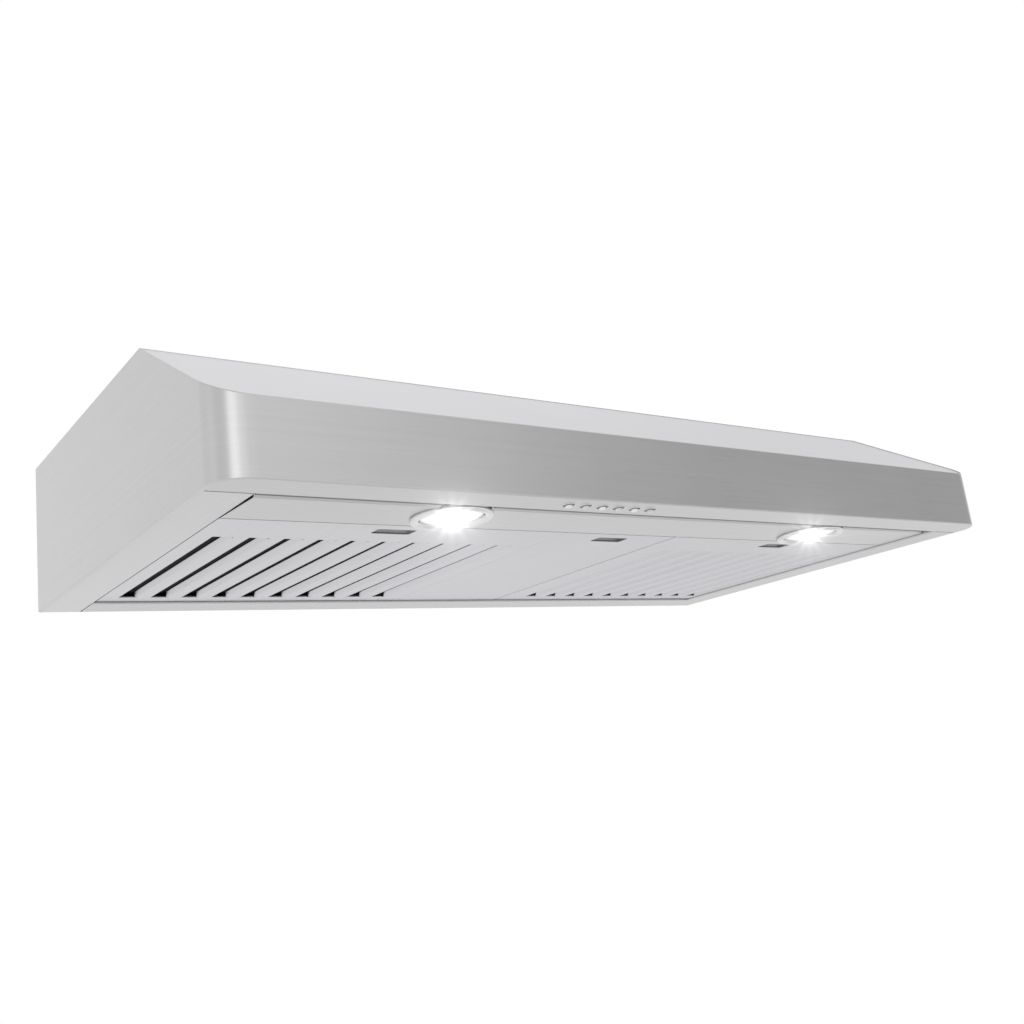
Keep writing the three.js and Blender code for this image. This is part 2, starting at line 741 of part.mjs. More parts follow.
function damperRod() {
  const rod = turnedAboutX([[0, -78], [2, -78], [2, 78], [0, 78]], TINY);
  return rod.translate(0, DUCT_Y, DAMPER_ROD_Z);
}

// A half disc that hangs on the rod by two knuckles. Side -1 is the room side.
function damperFlap(side, knuckleX) {
  const steps = 16;
  const half = Array.from({ length: steps + 1 }, (_, i) => {
    const angle = Math.PI * (0.022 + 0.956 * (i / steps));
    return [FLAP_RADIUS * Math.cos(angle), side * FLAP_RADIUS * Math.sin(angle)];
  });
  const plate = prismZ(side > 0 ? half : half.reverse(), -3.5, -2.7);
  const parts = [-knuckleX, knuckleX].flatMap((x) => [
    turnedAboutX([[2.5, x - 7], [3.8, x - 7], [3.8, x + 7], [2.5, x + 7]], TINY),
    box([x - 7, Math.min(0, side * 6), -3.5], [x + 7, Math.max(0, side * 6), -2.7]),
  ]);
  return join(plate, ...parts).translate(0, DUCT_Y, DAMPER_ROD_Z);
}

// ---------------------------------------------------------------- wiring
const BOX_LOW = [GLAND_X - 45, fromWall(78), -46];
const BOX_HIGH = [GLAND_X + 45, fromWall(6), -1.6];

function junctionBox() {
  const [x0, y0, z0] = BOX_LOW;
  const [x1, y1, z1] = BOX_HIGH;
  return cut(
    box(BOX_LOW, BOX_HIGH),
    box([x0 + SHEET, y0 + SHEET, z0 - 5], [x1 - SHEET, y1 - SHEET, z1 - SHEET]),
    prismZ(circle(11.4, SMALL, GLAND_X, GLAND_Y), z1 - 5, z1 + 5),
    prismX(circle(4, TINY, y0 + 14, z0 + 12), x0 - 5, x0 + 5),
  );
}

function junctionBoxCover() {
  const [x0, y0, z0] = BOX_LOW;
  const [x1, y1] = BOX_HIGH;
  const plate = box([x0, y0, z0 - 1.3], [x1, y1, z0 - GAP]);
  const inner = box([x0 + 1.4, y0 + 1.4, z0 - 0.5], [x1 - 1.4, y1 - 1.4, z0 + 4]);
  const hollow = box([x0 + 2.4, y0 + 2.4, z0 - 0.4], [x1 - 2.4, y1 - 2.4, z0 + CLEAR]);
  return join(plate, cut(inner, hollow));
}

// Threaded gland for the house supply, with its lock ring below the box's roof.
function cableGland() {
  return turned([
    [7.5, -16],
    [14, -16],
    [14, -9],
    [10.6, -9],
    [10.6, 9],
    [7.5, 9],
  ], SMALL).translate(GLAND_X, GLAND_Y, 0);
}

function terminalBlock() {
  const x = GLAND_X - 18;
  const y = fromWall(62);
  const body = box([x - 24, y - 9, -38], [x + 12, y + 9, -24]);
  const poles = [-18, -6, 6].map((shift) => prismY(circle(3.4, TINY, x + shift, -31), y - 12, y + 12));
  const heads = [-18, -6, 6].map((shift) => prismZ(circle(2.6, 6, x + shift, y), -32, -20));
  return cut(body, ...poles, ...heads);
}

function ledDriver() {
  const y = fromWall(270);
  const body = box([-330, y - 17, -24], [-240, y + 17, -1.6]);
  const ends = [-331.5, -238.5].map((x) => box([x - 8, y - 17, -3.1], [x + 8, y + 17, -1.6]));
  return join(body, ...ends);
}

// Flat-bundled wiring loom from the junction box forward to the switch block.
function wiringLoom() {
  const [x0, y0, z0] = BOX_LOW;
  const route = new THREE.CatmullRomCurve3([
    new THREE.Vector3(x0 - 1, y0 + 14, z0 + 12),
    new THREE.Vector3(x0 - 25, y0 + 10, z0 + 6),
    new THREE.Vector3(x0 - 60, y0 - 60, -16),
    new THREE.Vector3(180, fromWall(260), -8),
    new THREE.Vector3(90, fromWall(330), -30),
    new THREE.Vector3(30, fromWall(400), -90),
    new THREE.Vector3(0, fromWall(445), BOTTOM + 24),
    new THREE.Vector3(-22, fromWall(BUTTON_FROM_WALL), BOTTOM + 13.5),
    new THREE.Vector3(-29.5, fromWall(BUTTON_FROM_WALL), BOTTOM + 13.5),
  ]);
  return new THREE.ExtrudeGeometry(outline(circle(2.8, 6)), { steps: 30, extrudePath: route });
}

// ---------------------------------------------------------------- assembly
function addCanopy() {
  add('canopy_shell', canopyShell(), steel);
  add('slope_panel', slopePanel(), steel);
  add('top_plate', topPlate(), steel);
  add('back_plate', backPlate(), galvanised);
  add('left_bottom_flange', bottomFlange(-1), steel);
  add('right_bottom_flange', bottomFlange(1), steel);
  add('rear_rail', rearRail(), steel);
  add('front_lip', frontLip(), steel);
}

function addControls() {
  buttonPlaces().forEach(([x, y], i) => add(`push_button_${i + 1}`, button(x, y), chrome));
  add('switch_block', switchBlock(), darkPlastic);
}

function addLights() {
  add('light_panel', lightPanel(), steel);
  for (const [name, x] of LAMPS) {
    add(`${name}_light_bezel`, lightBezel(x), chrome);
    add(`${name}_light_lens`, lightLens(x), frosted);
    add(`${name}_led_module`, ledModule(x), aluminium);
  }
  add('led_driver', ledDriver(), palePlastic);
}

function addFilters() {
  const leftFirst = -SIDE_OUTER_X + LEFT_SLOT_MARGIN;
  const rightFirst = SIDE_INNER_X + RIGHT_SLOT_MARGIN;
  add('left_filter_panel', slottedPan(-SIDE_OUTER_X, -SIDE_INNER_X, -PULL_X, leftFirst), steel);
  add('right_filter_panel', slottedPan(SIDE_INNER_X, SIDE_OUTER_X, PULL_X, rightFirst), steel);
  add('centre_panel', pan(-CENTRE_HALF, CENTRE_HALF, 0, [-35, 35]), steel);
  add('left_filter_mesh', meshPad(-SIDE_OUTER_X, -SIDE_INNER_X, -PULL_X), aluminium);
  add('right_filter_mesh', meshPad(SIDE_INNER_X, SIDE_OUTER_X, PULL_X), aluminium);
  for (const [name, x] of [['left', -PULL_X], ['centre', 0], ['right', PULL_X]]) {
    add(`${name}_latch`, latch(x), steel);
    add(`${name}_latch_spring`, latchSpring(x), galvanised);
  }
}

function addBlower() {
  add('scroll_wrap', scrollWrap(), galvanised);
  add('scroll_left_side', scrollSide(-1), galvanised);
  add('scroll_right_side', scrollSide(1), galvanised);
  add('left_inlet_ring', inletRing(-1), galvanised);
  add('right_inlet_ring', inletRing(1), galvanised);
  add('impeller', impeller(), galvanised);
  add('impeller_hub', impellerHub(), brass);
  add('motor_shaft', motorShaft(), chrome);
  add('motor', motor(), aluminium);
  add('motor_bracket', spider(-1, 67, 24, 7), galvanised);
  add('bearing_bracket', spider(1, 64, 14, 8), galvanised);
  add('shaft_bearing', shaftBearing(), brass);
  add('run_capacitor', runCapacitor(), palePlastic);
}

function addDuct() {
  add('duct_collar', ductCollar(), galvanised);
  add('damper_rod', damperRod(), chrome);
  add('front_damper_flap', damperFlap(-1, 50), galvanised);
  add('rear_damper_flap', damperFlap(1, 30), galvanised);
  collarScrewPlaces().forEach(([x, y], i) => add(`collar_screw_${i + 1}`, collarScrew(x, y), chrome));
}

function addWiring() {
  add('junction_box', junctionBox(), galvanised);
  add('junction_box_cover', junctionBoxCover(), galvanised);
  add('cable_gland', cableGland(), darkPlastic);
  add('terminal_block', terminalBlock(), palePlastic);
  add('wiring_loom', wiringLoom(), darkPlastic);
}

addCanopy();
addControls();
addLights();
addFilters();
addBlower();
addDuct();
addWiring();

export default hood;
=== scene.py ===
import math

import bmesh
import bpy
from mathutils import Matrix, Vector
from mathutils.geometry import tessellate_polygon


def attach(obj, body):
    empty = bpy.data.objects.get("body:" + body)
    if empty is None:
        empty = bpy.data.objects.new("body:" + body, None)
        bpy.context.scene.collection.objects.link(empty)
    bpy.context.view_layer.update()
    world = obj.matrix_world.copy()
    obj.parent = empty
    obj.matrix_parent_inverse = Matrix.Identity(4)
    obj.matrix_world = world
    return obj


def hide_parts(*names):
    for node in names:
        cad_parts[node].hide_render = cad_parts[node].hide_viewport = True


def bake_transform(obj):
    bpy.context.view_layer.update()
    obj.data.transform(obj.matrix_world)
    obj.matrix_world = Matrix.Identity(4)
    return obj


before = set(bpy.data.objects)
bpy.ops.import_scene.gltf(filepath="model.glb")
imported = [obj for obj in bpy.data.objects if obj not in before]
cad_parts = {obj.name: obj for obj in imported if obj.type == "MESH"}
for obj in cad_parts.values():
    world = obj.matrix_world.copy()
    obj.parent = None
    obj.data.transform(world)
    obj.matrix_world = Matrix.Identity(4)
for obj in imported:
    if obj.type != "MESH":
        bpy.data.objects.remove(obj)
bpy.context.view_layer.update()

MM = 0.001
scene = bpy.context.scene

# ---------------------------------------------------------------- hood dimensions, millimetres
# X runs across the hood, Y from its front (-) to the wall (+), Z up from BOTTOM to the cabinet at 0.
HALF = 450  # half the width
WALL, FRONT = 30, -445
BOTTOM = -148
SLOPE_START, BAND_TOP = -300, -88  # the sloped front's rear edge, and the height where it meets the band
CORNER = 28
SHEET = 1
GAP = 0.3  # clearance between sheets that meet
INSET = 1.3  # how far the other sheets lie inside the canopy's outer face
FOLD, RETURN, RIM = 1.2, 3, 0.75  # the canopy's lower bend, its folded edge and its rounded upper edge
SLOPE_DROP, SLOPE_SHEET = 0.9, 1.17  # depth of the sloped sheet under the canopy's edge, and its thickness
FLANGE_X, FLANGE_BEND, FLANGE_HEIGHT = 410, 1.4, 14
LIP_REAR = -410
RAIL_FRONT = -10

# Top and back plates
DUCT_Y, DUCT_R, DUCT_H = -90, 74.5, 40
SCREW_CIRCLE, SCREW_HOLE = 81, 2.6
GLAND_X, GLAND_Y, GLAND_HOLE = 330, -12, 11.4
KEYHOLE_X, KEYHOLE_Y = 380, (0, -230)  # holes for hanging the hood on four screws
KEYHOLE_R, KEYHOLE_NECK, KEYHOLE_LENGTH = 5.5, 2.8, 12
BLANK_X, BLANK_LOW, BLANK_HIGH = 126, -98, -22  # knock-out for a rear duct
DASH_PITCH, DASH_HALF, DASH_RISE, DASH_WIDTH = 28, 11, 9, 0.5
RIB_OUT, RIB_IN, RIB_DEPTH = 10, 6, 2.5  # pressed rib round the knock-out

# Light panel and lamps
PANEL_Z = -146  # underside of the light panel and the filters
LIGHT_FRONT, LIGHT_REAR = -403, -336
LIGHT_BEND = 1.4
JOGGLE, JOGGLE_RISE = (-396.0, -393.8), 3.4  # where the panel's front strip steps up, and by how much
LAMP_X = {"left": -221, "right": 238}
LAMP_Y, LAMP_HOLE = -370.5, 31
SHIM_R, SHIM_LOW, SHIM_START, SHIM_SWEEP = 34.9, 1.6, 214, 112  # fills the gap under the raised strip

# Filter pans, their slots and their latches
PAN_FRONT, PAN_REAR = -334.5, -13.5
PAN_TOP = PANEL_Z + 10
LEFT_PAN, CENTRE_PAN, RIGHT_PAN = (-407.2, -70.95), (-70.7, 70.7), (72.1, 409)
LEFT_HOOKS, CENTRE_HOOKS, RIGHT_HOOKS = (-349, -131.3), (-35, 35), (131.3, 349)
HOOK_HALF, HOOK_REACH, HOOK_Z = 14, 10, 4.4
LEFT_SLOTS, RIGHT_SLOTS = -390.9, 104.9  # where each row of slots begins
SLOT_FRONT, SLOT_REAR = -280, -32
SLOT_COUNT, SLOT_PITCH, SLOT_CLEAR = 10, 31, 13.6
LANCE_R, LANCE_H = 2.5, 4.8  # a lance is a slot's edge, turned up
PULL_X, PULL_HALF = 244, 19  # the opening of a latch's finger pull
PULL_FRONT, PULL_REAR = -322, -307
BOLT_HALF, BOLT_LOW, BOLT_HIGH = 9, BOTTOM + 3.8, BOTTOM + 6.6
SEAT_HALF, SEAT_Y = 8, -290  # the tab that a latch's spring pushes against
SPRING_REAR, SPRING_FRONT, SPRING_Z = -290.6, -305.4, PANEL_Z + 6
COIL_R, COIL_WIRE, COIL_TURNS, COIL_STEPS = 2.6, 0.4, 4, 24

# Push buttons
BUTTON_Y = -427.5
BUTTON_X = [-96 + (i - 2.5) * 18.4 for i in range(6)]
BUTTON_HOLE = 5.3

# Blower and dampers
FAN_Y, FAN_Z = -110, -72
SCROLL_START, SCROLL_GROWTH, SCROLL_TONGUE = 28, 4.4, 0.97
SCROLL_SIDE, SCROLL_TOP, EYE_R = 55, -3, 42.5
WHEEL_IN, WHEEL_OUT, WHEEL_HALF, WHEEL_RIM = 37.5, 46, 50, 2.5
BLADES = 40
MOTOR_BOLT_CIRCLE = 28.6
CAPACITOR_Y, CAPACITOR_Z = -195, -22
ROD_Z = 12
FLAP_R, FLAP_LOW, FLAP_HIGH = 72.4, -3.5, -2.7  # heights from the rod's axis
FLAP_START, FLAP_SWEEP = 3.96, 172.08


def slope_z(y):
    """Height of the canopy's top edge at a distance from the wall."""
    if y >= SLOPE_START:
        return 0
    return (y - SLOPE_START) * BAND_TOP / (FRONT - SLOPE_START)


# ---------------------------------------------------------------- outlines
def rect(x0, y0, x1, y1, r=0, steps=4):
    """A rectangle with corners rounded by r."""
    if r <= 0:
        return [(x0, y0), (x1, y0), (x1, y1), (x0, y1)]
    points = []
    corners = ((x1 - r, y0 + r, -90), (x1 - r, y1 - r, 0), (x0 + r, y1 - r, 90), (x0 + r, y0 + r, 180))
    for cx, cy, start in corners:
        for i in range(steps + 1):
            a = math.radians(start + 90 * i / steps)
            points.append((cx + r * math.cos(a), cy + r * math.sin(a)))
    return points


def disc(cx, cy, r, steps=64, start=0, sweep=360):
    """A circle, or the arc of it that sweeps from start, in degrees."""
    count = steps if sweep == 360 else steps + 1
    turns = [math.radians(start + sweep * i / steps) for i in range(count)]
    return [(cx + r * math.cos(a), cy + r * math.sin(a)) for a in turns]


def area(loop):
    """Signed area of an outline: positive if it runs anticlockwise."""
    return sum(a[0] * b[1] - b[0] * a[1] for a, b in zip(loop, loop[1:] + loop[:1])) / 2


def inward(loop, distance):
    """Moves a loop towards the material on its left by a distance, with mitred corners."""
    if distance == 0:
        return list(loop)
    shifted = []
    n = len(loop)
    for i in range(n):
        p, q, r = (Vector(loop[k % n]) for k in (i - 1, i, i + 1))
        d0, d1 = (q - p).normalized(), (r - q).normalized()
        n0, n1 = Vector((-d0.y, d0.x)), Vector((-d1.y, d1.x))
        mitre = (n0 + n1) / max(0.3, 1 + n0.dot(n1))
        shifted.append((q.x + mitre.x * distance, q.y + mitre.y * distance))
    return shifted


# ---------------------------------------------------------------- solid parts: (vertices, faces), millimetres
def plate(outline, low, high, holes=(), soft=0.3):
    """A flat plate with rounded edges, from an outline and its holes."""
    loops = [outline if area(outline) > 0 else outline[::-1]]
    loops += [hole if area(hole) < 0 else hole[::-1] for hole in holes]
    soft = min(soft, (high - low) / 2.01)
    bend = [(soft * (1 - math.sin(a)), soft * (1 - math.cos(a))) for a in (0, math.pi / 4, math.pi / 2)]
    levels = [(d, low + z) for d, z in bend] + [(d, high - z) for d, z in reversed(bend)]
    rows = [[inward(loop, d) for loop in loops] for d, _ in levels]
    verts = [(x, y, z) for row, (_, z) in zip(rows, levels) for loop in row for x, y in loop]
    per = sum(len(loop) for loop in loops)
    last = per * (len(levels) - 1)
    flat = tessellate_polygon([[Vector((x, y, 0)) for x, y in loop] for loop in rows[0]])
    faces = [tuple(t) for t in flat] + [tuple(i + last for i in reversed(t)) for t in flat]
    start = 0
    for loop in loops:
        m = len(loop)
        for k in range(len(levels) - 1):
            for i in range(m):
                a, b = start + i + k * per, start + (i + 1) % m + k * per
                faces.append((a, b, b + per, a + per))
        start += m
    return verts, faces


def loft(rings, around=True, caps=True):
    """Joins rings of points with quads. around closes each ring on itself."""
    n = len(rings[0])
    verts = [tuple(p) for ring in rings for p in ring]
    span = n if around else n - 1
    faces = []
    for k in range(len(rings) - 1):
        for i in range(span):
            a, b = k * n + i, k * n + (i + 1) % n
            faces.append((a, b, b + n, a + n))
    if caps:
        faces += [tuple(range(n - 1, -1, -1)), tuple(range(len(verts) - n, len(verts)))]
    return verts, faces


def revolve(profile, centre, steps=64, axis="z"):
    """Turns a closed (radius, height) profile about an axis through a centre."""
    rings = []
    for k in range(steps + 1):
        a = 2 * math.pi * k / steps
        ring = []
        for r, h in profile:
            u, v = r * math.cos(a), r * math.sin(a)
            ring.append({"z": (u, v, h), "x": (h, u, v), "y": (u, h, v)}[axis])
        rings.append([tuple(p[i] + centre[i] for i in range(3)) for p in ring])
    return loft(rings, True, False)


def tube(path, radius, sides=10):
    """A round bar along a smooth path."""
    points = [Vector(p) for p in path]
    rings = []
    normal = None
    for i, p in enumerate(points):
        ahead = (points[min(i + 1, len(points) - 1)] - points[max(i - 1, 0)]).normalized()
        if normal is None:
            normal = ahead.orthogonal().normalized()
        normal = (normal - ahead * normal.dot(ahead)).normalized()
        side = ahead.cross(normal)
        rings.append([
            p + (normal * math.cos(t) + side * math.sin(t)) * radius
            for t in (2 * math.pi * k / sides for k in range(sides))
        ])
    return loft(rings)


def moved(part, change):
    """Applies a function of (x, y, z) to a part's vertices."""
    return [change(*v) for v in part[0]], part[1]


def creased(part, lines):
    """Adds edges across a part at the given distances from the wall, so that it can be bent there."""
    bm = bmesh.new()
    made = [bm.verts.new(v) for v in part[0]]
    for face in part[1]:
        bm.faces.new([made[i] for i in face])
    for y in lines:
        everything = [*bm.verts, *bm.edges, *bm.faces]
        bmesh.ops.bisect_plane(bm, geom=everything, dist=1e-4, plane_co=(0, y, 0), plane_no=(0, 1, 0))
    bm.verts.index_update()
    cut = [tuple(v.co) for v in bm.verts], [tuple(v.index for v in face.verts) for face in bm.faces]
    bm.free()
    return cut


def run_x(section, ends):
    """Extrudes a section of (y, z) points along X between two ends."""
    return loft([[(x, y, z) for y, z in section] for x in ends])


def along_x(part):
    """Stands a plate up: its outline in Y and Z, its thickness along X."""
    return moved(part, lambda u, v, w: (w, u, v))


def along_y(part):
    """Stands a plate up: its outline in X and Z, its thickness along Y."""
    return moved(part, lambda u, v, w: (u, w, v))


def spline(points, per=8):
    """Points along a smooth curve through the given ones."""
    pts = [Vector(p) for p in points]
    out = []
    for i in range(len(pts) - 1):
        p0, p1, p2, p3 = pts[max(i - 1, 0)], pts[i], pts[i + 1], pts[min(i + 2, len(pts) - 1)]
        for k in range(per):
            t = k / per
            out.append(0.5 * ((2 * p1) + (p2 - p0) * t + (2 * p0 - 5 * p1 + 4 * p2 - p3) * t * t
                              + (3 * p1 - p0 - 3 * p2 + p3) * t ** 3))
    return out + [pts[-1]]


# ---------------------------------------------------------------- pieces
def finish_mesh(bm, name, material, grain, sharp):
    """Makes an object of a bmesh, with smooth shading between sharp folds and UVs that follow the grain."""
    bmesh.ops.remove_doubles(bm, verts=bm.verts, dist=1e-7)
    bmesh.ops.dissolve_degenerate(bm, edges=bm.edges, dist=1e-8)
    bmesh.ops.recalc_face_normals(bm, faces=bm.faces)
    layer = bm.loops.layers.uv.new("grain")
    for face in bm.faces:
        face.smooth = True
        for loop in face.loops:
            loop[layer].uv = grain(loop.vert.co)
    mesh = bpy.data.meshes.new(name)
    bm.to_mesh(mesh)
    bm.free()
    mesh.set_sharp_from_angle(angle=math.radians(sharp))
    mesh.materials.append(material)
    piece = bpy.data.objects.new(name, mesh)
    scene.collection.objects.link(piece)
    weighted = piece.modifiers.new("normals", "WEIGHTED_NORMAL")
    weighted.weight = 100
    weighted.keep_sharp = True
    return piece


def grain_x(co):
    """Grain that runs along the hood's width."""
    return co.x, co.y + co.z


def grain_y(co):
    """Grain that runs from the front to the wall."""
    return co.y, co.x + co.z


def shape(name, parts, look, grain=grain_x, sharp=32):
    """One mesh object from solid parts. look is (material, record slot); the record slot is not used."""
    bm = bmesh.new()
    for verts, faces in parts:
        made = [bm.verts.new(Vector(v) * MM) for v in verts]
        for face in faces:
            if len(set(face)) > 2:
                bm.faces.new([made[i] for i in face])
    return finish_mesh(bm, name, look[0], grain, sharp)


def make(name, parts, look, body, nodes=(), grain=grain_x, sharp=32):
    """One piece from solid parts, carried by a body."""
    return placed(shape(name, parts, look, grain, sharp), body, nodes)


def placed(piece, body, nodes=()):
    """Puts a piece on its body, in place of the CAD nodes it stands for."""
    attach(piece, body)
    if nodes:
        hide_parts(*nodes)
    return piece


def refine(node, look, body, edge=0.3, grain=grain_x, sharp=35):
    """A copy of a CAD node with rounded edges and smooth round faces."""
    bm = bmesh.new()
    bm.from_mesh(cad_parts[node].data)
    bmesh.ops.remove_doubles(bm, verts=bm.verts, dist=2e-6)
    bmesh.ops.dissolve_limit(bm, angle_limit=math.radians(1), verts=bm.verts, edges=bm.edges)
    piece = finish_mesh(bm, node + "_detail", look[0], grain, sharp)
    if edge:
        piece.modifiers.clear()
        bevel = piece.modifiers.new("edge", "BEVEL")
        bevel.width = edge * MM
        bevel.segments = 2
        bevel.limit_method = "ANGLE"
        bevel.angle_limit = math.radians(50)
        bevel.harden_normals = True
    return placed(piece, body, (node,))


# ---------------------------------------------------------------- materials
def new_material(name):
    """A material, its nodes, its links and its shader."""
    material = bpy.data.materials.new(name)
    material.use_nodes = True
    nodes = material.node_tree.nodes
    return material, nodes, material.node_tree.links, nodes["Principled BSDF"]


def math_node(nodes, links, operation, a, b, c=None):
    """The output of a sum on sockets or plain numbers."""
    node = nodes.new("ShaderNodeMath")
    node.operation = operation
    for socket, value in zip(node.inputs, (a, b, c)):
        if value is None:
            continue
        if isinstance(value, bpy.types.NodeSocket):
            links.new(value, socket)
        else:
            socket.default_value = value
    return node.outputs[0]


def soft_step(nodes, links, value, near, far, at_near, at_far):
    """Goes smoothly from one number to another while a value goes from near to far."""
    step = nodes.new("ShaderNodeMapRange")
    step.interpolation_type = "SMOOTHSTEP"
    for key, number in (("From Min", near), ("From Max", far), ("To Min", at_near), ("To Max", at_far)):
        step.inputs[key].default_value = number
    links.new(value, step.inputs["Value"])
    return step.outputs[0]


def noise(nodes, links, coords, scale, detail=2.0, rough=0.5, stretch=(1, 1, 1)):
    """Noise between 0 and 1 over stretched coordinates."""
    mapping = nodes.new("ShaderNodeMapping")
    mapping.inputs["Scale"].default_value = stretch
    links.new(coords, mapping.inputs["Vector"])
    texture = nodes.new("ShaderNodeTexNoise")
    texture.inputs["Scale"].default_value = scale
    texture.inputs["Detail"].default_value = detail
    texture.inputs["Roughness"].default_value = rough
    links.new(mapping.outputs[0], texture.inputs["Vector"])
    return texture.outputs["Fac"]


def ramp_colour(nodes, links, fac, stops):
    """A colour read between stops of (position, colour)."""
    ramp = nodes.new("ShaderNodeValToRGB")
    elements = ramp.color_ramp.elements
    for k, (position, colour) in ((0, stops[0]), (1, stops[-1])):
        elements[k].position = position
        elements[k].color = (*colour, 1)
    for position, colour in stops[1:-1]:
        elements.new(position).color = (*colour, 1)
    links.new(fac, ramp.inputs["Fac"])
    return ramp.outputs["Color"]


def bump(nodes, links, shader, height, strength, distance):
    """Gives a shader fine relief."""
    node = nodes.new("ShaderNodeBump")
    node.inputs["Strength"].default_value = strength
    node.inputs["Distance"].default_value = distance
    links.new(height, node.inputs["Height"])
    links.new(node.outputs[0], shader.inputs["Normal"])


def brushed(name, colour, rough, grain_depth=0.05, anisotropy=0.55):
    """Satin stainless with fine lines along the sheet's grain, faint wider streaks and handling marks."""
    material, nodes, links, shader = new_material(name)
    uv = nodes.new("ShaderNodeUVMap")
    uv.uv_map = "grain"
    place = nodes.new("ShaderNodeTexCoord").outputs["Object"]
    fine = noise(nodes, links, uv.outputs[0], 1, 3, 0.65, (9, 2600, 1))
    streak = noise(nodes, links, uv.outputs[0], 1, 2, 0.5, (2.2, 260, 1))
    cloud = noise(nodes, links, place, 7, 3, 0.55)
    both = math_node(nodes, links, "MULTIPLY_ADD", streak, 0.6, fine)
    tone = math_node(nodes, links, "MULTIPLY_ADD", cloud, 0.35, both)
    dark, light = (tuple(c * k for c in colour) for k in (0.93, 1.05))
    share = math_node(nodes, links, "MULTIPLY", tone, 0.513)
    links.new(ramp_colour(nodes, links, share, [(0.3, dark), (0.7, light)]), shader.inputs["Base Color"])
    wear = math_node(nodes, links, "MULTIPLY_ADD", fine, 0.14, rough - 0.10)
    links.new(math_node(nodes, links, "MULTIPLY_ADD", cloud, 0.06, wear), shader.inputs["Roughness"])
    shader.inputs["Metallic"].default_value = 1
    shader.inputs["Anisotropic"].default_value = anisotropy
    shader.inputs["Anisotropic Rotation"].default_value = 0.25
    tangent = nodes.new("ShaderNodeTangent")
    tangent.direction_type = "UV_MAP"
    tangent.uv_map = "grain"
    links.new(tangent.outputs[0], shader.inputs["Tangent"])
    bump(nodes, links, shader, fine, grain_depth, 0.0002)
    return material


def galvanised():
    """Zinc-coated sheet: dull crystals of slightly different greys."""
    material, nodes, links, shader = new_material("galvanised_sheet")
    place = nodes.new("ShaderNodeTexCoord").outputs["Object"]
    crystals = nodes.new("ShaderNodeTexVoronoi")
    crystals.inputs["Scale"].default_value = 130
    crystals.inputs["Randomness"].default_value = 1
    links.new(place, crystals.inputs["Vector"])
    grey = nodes.new("ShaderNodeSeparateColor")
    links.new(crystals.outputs["Color"], grey.inputs[0])
    cloud = noise(nodes, links, place, 40, 4, 0.6)
    half_grey = math_node(nodes, links, "MULTIPLY", grey.outputs[0], 0.5)
    tone = math_node(nodes, links, "MULTIPLY_ADD", cloud, 0.5, half_grey)
    stops = [(0.15, (0.45, 0.47, 0.48)), (0.55, (0.55, 0.57, 0.58)), (0.9, (0.62, 0.64, 0.65))]
    links.new(ramp_colour(nodes, links, tone, stops), shader.inputs["Base Color"])
    dullness = math_node(nodes, links, "MULTIPLY_ADD", grey.outputs[1], 0.18, 0.36)
    links.new(dullness, shader.inputs["Roughness"])
    shader.inputs["Metallic"].default_value = 0.92
    bump(nodes, links, shader, cloud, 0.08, 0.0004)
    return material


def grained(name, colour, rough, metallic, scale, depth, spread=0.12):
    """Cast, turned or moulded surface with a fine random grain."""
    material, nodes, links, shader = new_material(name)
    place = nodes.new("ShaderNodeTexCoord").outputs["Object"]
    grain = noise(nodes, links, place, scale, 4, 0.6)
    cloud = noise(nodes, links, place, scale / 30, 2, 0.5)
    dark, light = (tuple(min(1, c * k) for c in colour) for k in (1 - spread, 1 + spread))
    links.new(ramp_colour(nodes, links, cloud, [(0.3, dark), (0.7, light)]), shader.inputs["Base Color"])
    links.new(math_node(nodes, links, "MULTIPLY_ADD", grain, 0.16, rough - 0.08), shader.inputs["Roughness"])
    shader.inputs["Metallic"].default_value = metallic
    bump(nodes, links, shader, grain, depth, 0.0003)
    return material


def shade_black_mesh_material():
    """Layered expanded metal, with strands and diamonds both painted near black: painted shade for the dark
    interior seen through the filter slots.
    """
    material, nodes, links, shader = new_material("expanded_mesh_painted_shade")
    place = nodes.new("ShaderNodeTexCoord").outputs["Object"]
    strands = None
    for turn in (0.95, -0.95):
        mapping = nodes.new("ShaderNodeMapping")
        mapping.inputs["Rotation"].default_value = (0, 0, turn)
        links.new(place, mapping.inputs["Vector"])
        wave = nodes.new("ShaderNodeTexWave")
        wave.inputs["Scale"].default_value = 70
        wave.inputs["Distortion"].default_value = 0.4
        links.new(mapping.outputs[0], wave.inputs["Vector"])
        fac = wave.outputs["Fac"]
        strands = fac if strands is None else math_node(nodes, links, "MAXIMUM", strands, fac)
    # Strands and gaps are both near black: painted shade, not the mesh's own metal grey.
    colour = ramp_colour(nodes, links, strands, [(0.72, (0.001, 0.001, 0.001)), (0.9, (0.013, 0.013, 0.014))])
    links.new(colour, shader.inputs["Base Color"])
    shader.inputs["Roughness"].default_value = 0.65
    shader.inputs["Specular IOR Level"].default_value = 0.04
    bump(nodes, links, shader, strands, 0.5, 0.001)
    return material


